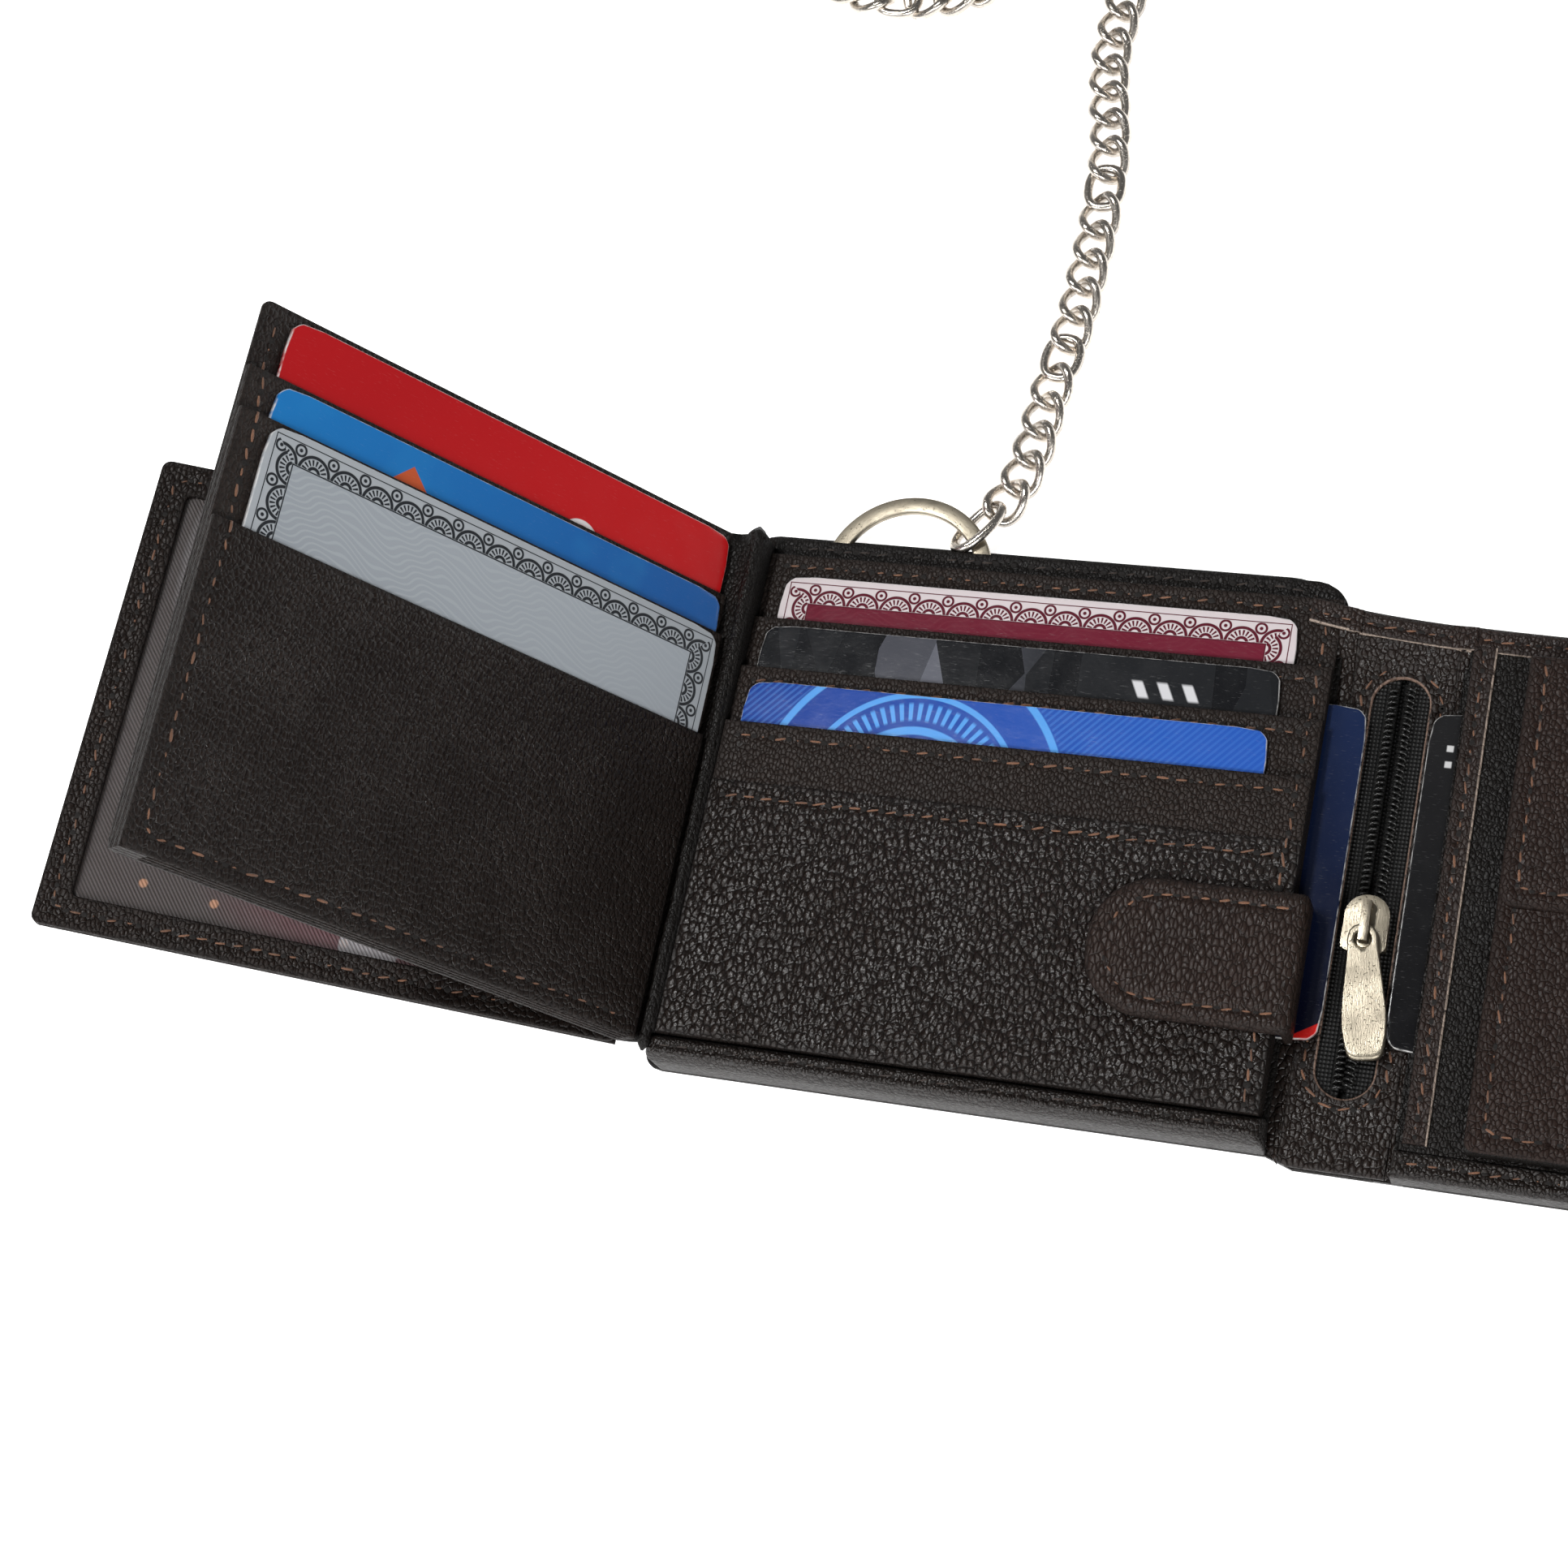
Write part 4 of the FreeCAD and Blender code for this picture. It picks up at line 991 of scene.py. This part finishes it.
def card_page():
    place = page_place(CARD_PAGE_TILT)
    x, y0 = PAGE_X, PAGE_Y[0]
    z = -PAGE_T
    seam = [(-89.2, 41.0), (-89.2, -41.2), (-4.0, -41.2)]
    back = ply("page_back", "page_back", "page", "page", x, PAGE_Y, (z, z + BACK_T), seam[:2],
               place=place, slot="leather_inner", radii=(1.5, 0, 0, 1.5), groove=0.15)
    z += BACK_T
    widths = (CARD_LEFT - x[0] - 0.4, x[1] - CARD_LEFT - CARD_W - 0.4)
    for i, edge in enumerate(PAGE_SLOT_EDGE):
        node = f"page_slot_{i + 1}"
        ply(node, node, "page", "strip", x, (y0, edge), (z + CARD_GAP, z + CARD_GAP + STRIP_T),
            place=place, slot="leather_inner", roll=0.2)
        rails(node, "page", x, (y0, edge), (z, z + RAIL_T), widths, "page", place)
        z += PLY
    front = ply("page_front", "page_front_pocket", "page", "page", x, (y0, FRONT_EDGE),
                (-BACK_T, 0.0), seam, place=place, radii=(1.5, 0, 0, 0), roll=0.35, groove=0.25,
                puff=0.25, puff_w=3.0, wave=0.25)
    rails("page_front", "page", x, (y0, FRONT_EDGE), (z, z + RAIL_T), widths, "page", place)

    def height(px, py):
        if py < FRONT_EDGE:
            return front.height(px, py)
        for k, edge in reversed(list(enumerate(PAGE_SLOT_EDGE))):
            if py < edge:
                return -PAGE_T + BACK_T + PLY * (k + 1)
        return back.height(px, py)

    stitches("page_stitches", "page", [seam], height, place, width=0.5)


def id_page():
    place = page_place(ID_PAGE_TILT)
    (x0, x1), (y0, y1) = ID_X, ID_Y
    top = -PAGE_T - 0.2
    outer = rounded(x0, x1, y0, y1, 1.5)
    inner = rounded(x0 + 5.5, x1 - 5.5, y0 + 5.5, y1 - 5.5, 1.0)
    path = rounded(x0 + 2.8, x1 - 2.8, y0 + 2.8, y1 - 2.8, 1.2)
    path.append(path[0])
    obj = rim_sheet("id_frame_leather", outer, inner, (top - BACK_T, top), M["page"], 0.3, place,
                    seams=[path[::6] + [path[0]]])
    stand_for(obj, "id_page", "id_frame", slot="leather_inner")
    stitches("id_frame_stitches", "id_page", [path], lambda px, py: top - 0.2, place)
    dress(["id_window"], "film")
    print_z = top - 1.2
    lining = Sheet((x0 + 1.5, x1 - 1.5), (y0 + 1.5, y1 - 1.5), (print_z, print_z + 0.25),
                   roll=0.05, step=4.0)
    stand_for(lining.mesh("id_print_lining", M["print"], place), "id_page", "id_lining",
              slot="printed_lining")
    back_z = print_z - 0.75
    ply("id_back", "id_back", "id_page", "page", ID_X, ID_Y, (back_z, back_z + BACK_T),
        place=place, slot="leather_inner", radii=(1.5, 0, 0, 1.5))
    dress(["tab_keeper_page", "tab_keeper"], "steel")


# ---------------------------------------------------------------- tab, spine and zip

def closure_tab():
    (x0, x1), (y0, y1), (z0, z1) = mm_box("closure_tab")
    flat_z = z1 - 1.6
    bend_x, bend_r = x1 - 1.6, 1.6

    def wrap(x, y, z):
        """The tab's right end rolls over the panel's edge and down behind it."""
        if x <= bend_x:
            return x, y, z
        a = min((x - bend_x) / bend_r, math.pi / 2)
        past = max(0.0, x - bend_x - bend_r * math.pi / 2)
        r = z - flat_z
        return bend_x + math.sin(a) * r, y, flat_z + math.cos(a) * r - past

    length = bend_x + bend_r * math.pi / 2 + (flat_z - z0)
    r = (y1 - y0) / 2 - 1.0
    seam = []
    for k in range(13):
        a = math.radians(90 + 15 * k)
        seam.append((x0 + 2.7 + (r - 1.7) * (1 + math.cos(a)), (y0 + y1) / 2 + (r - 1.7) *
                     math.sin(a)))
    seam = [(bend_x - 1.0, seam[0][1])] + seam + [(bend_x - 1.0, seam[-1][1])]
    tab = Sheet((x0, length), (y0, y1), (flat_z, z1), (r, 0.5, 0.5, r), roll=0.7, step=1.0,
                seams=[seam], puff=0.5, puff_w=2.4, groove=0.35, wave=0.1)
    stand_for(tab.mesh("closure_tab_leather", M["tab"], warp=wrap), "tab", "closure_tab",
              slot="leather_cover")
    stitches("closure_tab_stitches", "tab", [seam], tab.height, width=0.5)


def rise(y):
    """How far the spine's leather is lifted where it runs up under the top band."""
    t = min(1.0, max(0.0, (y - 31.5) / 5.0))
    return 2.1 * smooth(t)


def stadium(cx, r, y0, y1, rect, step=2.5):
    """Matching outlines: a rectangle round a stadium-shaped opening, anticlockwise."""
    rx0, rx1, ry0, ry1 = rect
    outer, inner = [], []
    count = round((y1 - y0) / step)
    for i in range(count + 1):
        y = y0 + (y1 - y0) * i / count
        inner.append((cx + r, y))
        outer.append((rx1, y))

    def arc(cy, start, edge_y):
        corner = math.atan2(abs(edge_y - cy), rx1 - cx)
        corner_left = math.pi - math.atan2(abs(edge_y - cy), cx - rx0)
        angles = [corner * i / 6 for i in range(1, 7)]
        angles += [corner + (corner_left - corner) * i / 10 for i in range(1, 11)]
        angles += [corner_left + (math.pi - corner_left) * i / 6 for i in range(1, 6)]
        for a in angles:
            up = 1 if start == 0 else -1
            c, s = math.cos(a) * up, math.sin(a) * up
            far = min((rx1 - cx) / c if c > 1e-6 else 1e9, (rx0 - cx) / c if c < -1e-6 else 1e9,
                      (edge_y - cy) / s if abs(s) > 1e-6 else 1e9)
            inner.append((cx + r * c, cy + r * s))
            outer.append((cx + far * c, cy + far * s))

    arc(y1, 0, ry1)
    for i in range(count + 1):
        y = y1 + (y0 - y1) * i / count
        inner.append((cx - r, y))
        outer.append((rx0, y))
    arc(y0, 1, ry0)
    return outer, inner


def spine():
    (x0, x1), (y0, y1), z = mm_box("spine_leather")
    cx, r = OVAL_X, OVAL_R
    low, high = OVAL_Y[0] + r, OVAL_Y[1] - r
    outer, inner = stadium(cx, r, low, high, (x0, x1, y0, y1))
    path = []
    for k in range(13):
        a = math.radians(15 * k)
        path.append((cx + (r + 1.9) * math.cos(a), high + (r + 1.9) * math.sin(a)))
    for k in range(13):
        a = math.radians(180 + 15 * k)
        path.append((cx + (r + 1.9) * math.cos(a), low + (r + 1.9) * math.sin(a)))
    path.append(path[0])
    obj = rim_sheet("spine_leather_face", outer, inner, z, M["spine"], 0.2, seams=[path],
                    warp=lambda x, y, z: (x, y, z + rise(y)))
    stand_for(obj, "spine", "spine_leather", slot="leather_inner")
    stitches("oval_stitches", "spine", [path], lambda px, py: z[1] - 0.12)
    dress(["zip_tapes"], "tape")
    dress(["zip_pocket_lining"], "tape")

    (bx0, bx1), (by0, by1), (low_z, _) = mm_box("top_band_spine")
    seam = [(bx0, by1 - 2.2), (bx1, by1 - 2.2)]
    band = Sheet((bx0, bx1), (by0, by1), (low_z, BAND_TOP), roll=0.5, seams=[seam], puff=0.4,
                 puff_w=1.6,
                 square="LR", wave=0.1, step=1.2, raw="B")
    stand_for(band.mesh("top_band_spine_leather", M["top"], warp=ease), "spine",
              "top_band_spine", slot="leather_cover")
    stitches("top_band_spine_stitches", "spine", [seam], band.height, warp=ease)

    (cx0, cx1), (cy0, cy1), cz = mm_box("cover_spine")
    cover = Sheet((cx0 + 2.0, cx1 - 2.0), (cy0, cy1), cz, roll=0.5, square="LR")
    stand_for(cover.mesh("cover_spine_leather", M["cover"], warp=ease), "spine", "cover_spine",
              slot="leather_cover")
    coils((cx, low - r + 1.2, high + r - 1.2))
    slider_and_pull()


def coils(where):
    """Two rows of coiled teeth, open above the slider and meshed below it."""
    cx, y0, y1 = where
    (_, _), (_, _), (z0, z1) = mm_box("zip_coils")
    (_, _), (sy0, sy1), _ = mm_box("zip_slider")
    split = (sy0 + sy1) / 2
    mid_z, half_h, wire = (z0 + z1) / 2, (z1 - z0) / 2, 0.21
    pitch = 0.95
    verts, faces = [], []
    for side in (-1, 1):
        points = []
        turns = int((y1 - y0) / pitch)
        for i in range(turns * 12 + 1):
            t = i / 12
            y = y0 + t * pitch + (0.0 if side < 0 else pitch / 2)
            y = min(y, y1)
            share = 1 / (1 + math.exp(-(y - split) / 1.1))
            centre = 0.80 + 0.50 * share
            a = 2 * math.pi * t
            x = cx + side * (centre + 0.72 * math.cos(a))
            z = mid_z + (half_h - wire) * math.sin(a)
            points.append((x, y + 0.12 * math.sin(a), z))
        v, f = tube(points, wire, 6, closed=False, base=len(verts))
        verts += v
        faces += f
    obj = finish_mesh("zip_coil_rows", verts, faces, [M["coil"]])
    stand_for(obj, "spine", "zip_coils", slot="zip_coil")


def slider_and_pull():
    dress(["zip_slider"], "nickel", 0.22)
    (sx0, sx1), (sy0, sy1), _ = mm_box("zip_slider")
    _, (py0, _), (pz0, pz1) = mm_box("zip_pull")
    cx, eye_y = (sx0 + sx1) / 2, (sy0 + sy1) / 2 - 2.8
    length = eye_y - py0
    spans = ((-2.4, 0.5), (-2.2, 1.25), (-1.5, 1.95), (-0.4, 2.3), (1.4, 2.35), (4.5, 2.6),
             (8.0, 3.0), (11.5, 3.3), (14.0, 3.3), (16.0, 3.05), (length - 0.9, 2.7),
             (length - 0.3, 2.25), (length, 1.3))
    side = [(w, eye_y - d) for d, w in spans]
    outline = [(cx - x, y) for x, y in side] + [(cx + x, y) for x, y in reversed(side)]
    count = 60
    around = sum(math.dist(a, b) for a, b in zip(outline, outline[1:] + outline[:1]))
    outer = [(x, y) for x, y, _ in walk(outline, around / count, closed=True)][:count]
    inner = []
    for x, y in outer:
        a = math.atan2(y - eye_y, x - cx)
        inner.append((cx + 1.25 * math.cos(a), eye_y + 1.25 * math.sin(a)))
    lean = math.radians(PULL_LEAN)

    def turn(x, y, z):
        dx, dy = x - cx, y - eye_y
        return (cx + dx * math.cos(lean) - dy * math.sin(lean),
                eye_y + dx * math.sin(lean) + dy * math.cos(lean), z)

    mid = (pz0 + pz1) / 2
    obj = rim_sheet("zip_pull_plate", outer, inner, (mid - 0.45, mid + 0.45), M["nickel"], 0.3,
                    warp=turn)
    stand_for(obj, "pull", "zip_pull", slot="antique_nickel")


# ---------------------------------------------------------------- right half

def right_half():
    (x0, x1), (y0, y1), z = mm_box("cover_right")
    cover = Sheet((x0 + 2.0, x1), (y0, y1), z, (0, 3, 3, 0), roll=0.5, square="L", wave=0.05)
    stand_for(cover.mesh("cover_right_leather", M["cover"], warp=ease), "right", "cover_right",
              slot="leather_cover")
    dress(["note_lining_right"], "bind")

    (x0, x1), (y0, y1), z = mm_box("coin_panel")
    panel = Sheet((x0, x1), (y0, y1), (z[1] - 0.7, z[1]), roll=0.3, square="R", wave=0.1)
    obj = panel.mesh("coin_panel_leather", M["spine"])
    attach(obj, "right")
    dress(["coin_panel"], "bind")

    (sx0, sx1), (sy0, sy1), sz = mm_box("edge_strip")
    seam = [(sx0 + 1.7, sy0 + 1.0), (sx0 + 1.7, sy1 - 1.0)]
    strip = Sheet((sx0, sx1), (sy0, sy1), sz, roll=0.25, seams=[seam], groove=0.2, step=1.2,
                  raw="R")
    stand_for(strip.mesh("edge_strip_leather", M["top"]), "right", "edge_strip",
              slot="leather_cover")
    stitches("edge_strip_stitches", "right", [seam], strip.height, hole=0.5)

    for node, line_y in (("bottom_band_right", 0.55), ("top_band_right", 0.48)):
        (bx0, bx1), (by0, by1), bz = mm_box(node)
        sy = by0 + (by1 - by0) * line_y
        seam = [(bx0 + 1.5, sy), (bx1 - 1.5, sy)]
        is_top = node.startswith("top")
        band = Sheet((bx0, bx1), (by0, by1), bz, roll=0.6, seams=[seam], puff=0.4, puff_w=1.6,
                     wave=0.1, step=1.2, groove=0.3, square="L" if is_top else "",
                     raw="B" if is_top else "")
        bend = ease if is_top else None
        obj = band.mesh(node + "_leather", M["top"] if is_top else M["band"], warp=bend)
        stand_for(obj, "right", node, slot="leather_cover")
        stitches(node + "_stitches", "right", [seam], band.height, warp=bend)
    (bx0, bx1), (by0, by1), bz = mm_box("end_binding_right")
    seam = [(bx0 + 2.0, by0 + 1.0), (bx0 + 2.0, by1 - 2.0)]
    band = Sheet((bx0, bx1), (by0, by1), bz, (0, 0, 3, 0), roll=1.2, seams=[seam], puff=0.6,
                 puff_w=1.8, step=1.5)
    stand_for(band.mesh("end_binding_leather", M["band"], warp=ease), "right",
              "end_binding_right", slot="leather_cover")
    stitches("end_binding_stitches", "right", [seam], band.height, warp=ease)
    coin_pouch()


def coin_pouch():
    dress(["coin_pouch_gusset"], "bind", 0.5)
    (x0, x1), (y0, y1), z = mm_box("coin_pouch_front")
    seam = [(x0 + 2.6, y1 - 1), (x0 + 2.6, y0 + 2.6), (x1 - 2.6, y0 + 2.6), (x1 - 2.6, y1 - 1)]
    front = Sheet((x0, x1), (y0, y1), z, (1.5, 1.5, 0, 0), roll=0.35, seams=[seam], groove=0.25,
                  wave=0.12)
    stand_for(front.mesh("coin_pouch_leather", M["coin"]), "right", "coin_pouch_front",
              slot="leather_cover")
    stitches("coin_pouch_stitches", "right", [seam], front.height)
    (x0, x1), (y0, y1), z = mm_box("coin_flap")
    seam = [(x0 + 2.6, y1 - 1), (x0 + 2.6, y0 + 2.6), (x1 - 2.6, y0 + 2.6), (x1 - 2.6, y1 - 1)]
    flap = Sheet((x0, x1), (y0, y1), z, (2.5, 2.5, 0, 0), roll=0.35, seams=[seam], groove=0.25,
                 puff=0.25, puff_w=2.2)
    stand_for(flap.mesh("coin_flap_leather", M["coin"]), "flap", "coin_flap",
              slot="leather_cover")
    stitches("coin_flap_stitches", "flap", [seam], flap.height)
    dress(["coin_snap_cap", "coin_stud"], "brass")


# ---------------------------------------------------------------- leather over the folds

def folds():
    """Strips of leather laid across the wallet's folds and where the page turns."""
    def strip(name, a, b, start, end, ya, yb, thick, mat, curve=0.0, raw=False, lift=None):
        """From start to end, each an (x, z) on the strip's face, ya and yb its ends in y."""
        rows, cols = 44, 12
        verts, pale = [], []
        (x0, z0), (x1, z1) = start, end
        for level in (0.0, thick):
            for j in range(rows + 1):
                for i in range(cols + 1):
                    t = i / cols
                    low = ya[0] + (yb[0] - ya[0]) * t
                    high = ya[1] + (yb[1] - ya[1]) * t
                    z = z0 + (z1 - z0) * smooth(t) + curve * math.sin(math.pi * t)
                    y = low + (high - low) * j / rows
                    z += lift(y) if lift else 0.0
                    verts.append((x0 + (x1 - x0) * t, y, z - level))
                    pale.append(1.0 if raw and j == 0 else 0.0)
        n, base = cols + 1, (rows + 1) * (cols + 1)
        faces = two_sided(rows, cols, n, base)
        for i in range(cols):
            top = rows * n + i
            faces.append((i, i + base, i + 1 + base, i + 1))
            faces.append((top, top + 1, top + 1 + base, top + base))
        for j in range(rows):
            p, q = j * n, j * n + cols
            faces.append((p, p + n, p + n + base, p + base))
            faces.append((q, q + base, q + n + base, q + n))
        if x1 < x0:
            faces = [f[::-1] for f in faces]
        obj = finish_mesh(name, verts, faces, [mat],
                          floats={"edge": [0.0] * len(verts), "raw": pale})
        x0 * MM
        z0 * MM
        x1 * MM
        z1 * MM
        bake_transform(obj)

    (_, lx1), (ly0, ly1), (_, ltop) = mm_box("cover_left")
    (sx0, sx1), (sy0, sy1), _ = mm_box("cover_spine")
    (rx0, _), (ry0, ry1), _ = mm_box("cover_right")
    fall = [ease(x, 40.0, 0.0)[1] - 40.0 for x in (sx1 - 2.0, rx0 + 2.0)]
    strip("cover_fold_left", "case", "spine", (lx1 - 2.0, ltop), (sx0 + 2.0, ltop),
          (ly0, ly1 - 10.0), (sy0, sy1), ltop, M["cover"])
    strip("cover_fold_right", "spine", "right", (sx1 - 2.0, ltop), (rx0 + 2.0, ltop),
          (sy0, sy1 + fall[0]), (ry0, ry1 + fall[1]), ltop, M["cover"])
    _, (ly, _), (low, face) = mm_box("spine_leather")
    strip("spine_fold_left", "case", "spine", (lx1 - 4.0, face), (sx0 + 0.05, face), (-42.5, 38.6),
          (ly, 38.6), face - low, M["spine"], lift=rise)
    strip("spine_fold_right", "spine", "right", (sx1 - 0.05, face), (rx0 + 3.0, face), (ly, 38.0),
          (ly + 4.5, 38.0), face - low, M["spine"], lift=rise)

    (bx0, bx1), (by0, by1), _ = mm_box("top_band_spine")
    (tx0, _), _, (_, ttop) = mm_box("top_band_right")
    btop = BAND_TOP
    for name, a, b, start, end in (
            ("top_band_fold_left", "case", "spine", (bx0 - 1.4, btop + 0.03), (bx0 + 0.5, btop)),
            ("top_band_fold_right", "spine", "right", (bx1 - 1.6, btop - 0.1),
             (tx0 + 1.6, ttop - 0.05))):
        ends = [(ease(x, by0, 0)[1] + 0.12, ease(x, by1, 0)[1] - 0.3)
                for x in (start[0], end[0])]
        strip(name, a, b, start, end, ends[0], ends[1], 0.3, M["top"], raw=True)

    (gx, _), _, (_, gz) = mm_box("hinge_gusset")
    (_, px1), (py0, py1), (pz0, _) = mm_box("page_back")
    strip("page_hinge_leather", "case", "page", (gx + 0.5, gz - 0.3), (px1 - 0.5, pz0 + 0.9),
          (py0, py1), (py0, py1), 0.6, M["bind"], curve=-0.5)


# ---------------------------------------------------------------- ring and chain

def link_centres(node):
    """Centre of each separate link in a chain node, in order, in mm."""
    mesh = bmesh.new()
    mesh.from_mesh(NODES[node].data)
    bmesh.ops.remove_doubles(mesh, verts=mesh.verts, dist=1e-6)
    mesh.verts.ensure_lookup_table()
    seen, centres = set(), []
    for start in mesh.verts:
        if start.index in seen:
            continue
        seen.add(start.index)
        island, queue = [], [start]
        while queue:
            v = queue.pop()
            island.append(v.co.copy())
            for e in v.link_edges:
                o = e.other_vert(v)
                if o.index not in seen:
                    seen.add(o.index)
                    queue.append(o)
        low = [min(c[k] for c in island) for k in range(3)]
        high = [max(c[k] for c in island) for k in range(3)]
        centres.append(Vector([(a + b) / 2 / MM for a, b in zip(low, high)]))
    mesh.free()
    return centres


def link_points(length, width, twist, tilt, count=40):
    """Centreline of one link, twisted about its length, the twist and tilt in degrees."""
    points = []
    for i in range(count):
        a = 2 * math.pi * i / count
        x = math.copysign(abs(math.cos(a)) ** 0.82, math.cos(a)) * length / 2
        y = math.copysign(abs(math.sin(a)) ** 0.82, math.sin(a)) * width / 2
        turn = math.radians(tilt + twist * 2 * x / length)
        points.append((x, y * math.cos(turn), y * math.sin(turn)))
    return points


def chain():
    dress(["ring"], "nickel", 0.3)
    dress(["clasp_body", "clasp_eye", "clasp_gate", "clasp_pin"], "chain", 0.3)
    groups = [link_centres(f"chain_{i}") for i in range(1, 7)]
    line_of = [c for g in groups for c in g]
    k = 0
    for i, group in enumerate(groups):
        verts, faces = [], []
        for j, centre in enumerate(group):
            ahead = line_of[min(k + 1, len(line_of) - 1)] - line_of[max(k - 1, 0)]
            heading = Matrix.Rotation(math.atan2(ahead.y, ahead.x), 3, "Z")
            plain = k == 0 or j == len(group) - 1
            length = 7.5 + (RING_REACH if k == 0 else 0.0)
            tilt = FIRST_LINK_TILT if k == 0 else 0.0
            points = link_points(length, 5.8, 0.0 if plain else -44.0, tilt)
            at = centre if k == 0 else centre - Vector((0, 0, 0.4))
            points = [tuple(at + heading @ Vector(p)) for p in points]
            v, f = tube(points, 0.84, 10, base=len(verts))
            verts += v
            faces += f
            k += 1
        obj = finish_mesh(f"chain_links_{i + 1}", verts, faces, [M["chain"]])
        stand_for(obj, f"chain_{i + 1}", f"chain_{i + 1}", slot="chain_nickel")


# ---------------------------------------------------------------- stage, light and camera

def stage():
    floor = Shader("floor_white", Roughness=0.9)
    tone = floor.noise(floor.place(), 3.0)
    floor.set(Base_Color=floor.mix(tone, (0.93, 0.93, 0.93), (0.95, 0.95, 0.95)),
              Emission_Color=(1.0, 1.0, 1.0, 1.0), Emission_Strength=0.85)
    size = 6000.0
    obj = finish_mesh("floor", [(-size, -size, -0.05), (size, -size, -0.05), (size, size, -0.05),
                                (-size, size, -0.05)], [(0, 1, 2, 3)], [floor.mat])

    world = bpy.data.worlds.new("studio")
    world.use_nodes = True
    bpy.context.scene.world = world
    tree = world.node_tree
    back = tree.nodes["Background"]
    way = tree.nodes.new("ShaderNodeSeparateXYZ")
    tree.links.new(tree.nodes.new("ShaderNodeTexCoord").outputs["Generated"], way.inputs[0])
    glow = tree.nodes.new("ShaderNodeMapRange")
    for i, value in enumerate((0.15, 0.75, 0.26, 0.11)):
        glow.inputs[i + 1].default_value = value
    tree.links.new(way.outputs[2], glow.inputs[0])
    back.inputs[0].default_value = (1.0, 1.0, 1.0, 1.0)
    tree.links.new(glow.outputs[0], back.inputs[1])

    def area(name, at, target, size, power):
        light = bpy.data.lights.new(name, "AREA")
        light.shape = "RECTANGLE"
        light.size, light.size_y = size
        light.energy = power
        lamp = bpy.data.objects.new(name, light)
        lamp.location = at
        lamp.rotation_euler = (Vector(target) - Vector(at)).to_track_quat("-Z", "Y").to_euler()
        bpy.context.scene.collection.objects.link(lamp)

    area("softbox_key", (-0.41, 0.135, 1.15), (0.0, -0.02, 0.0), (0.42, 0.12), 8.5)
    area("softbox_left", (-0.75, -1.05, 0.95), (0.0, 0.0, 0.0), (0.7, 0.5), 11.0)
    area("softbox_right", (0.55, -1.05, 0.85), (0.0, 0.0, 0.0), (0.6, 0.5), 11.0)

    camera = bpy.data.cameras.new("camera")
    camera.sensor_width = 36.0
    camera.lens = 69.43
    camera.clip_start, camera.clip_end = 0.01, 20.0
    eye = bpy.data.objects.new("camera", camera)
    eye.location = (0.12087, -0.14394, 0.44410)
    eye.rotation_euler = [math.radians(a) for a in (21.124, 15.617, 12.168)]
    bpy.context.scene.collection.objects.link(eye)
    bpy.context.scene.camera = eye
    bpy.context.scene.view_settings.view_transform = "Standard"


left_half()
cards()
card_page()
id_page()
closure_tab()
spine()
right_half()
folds()
chain()
stage()
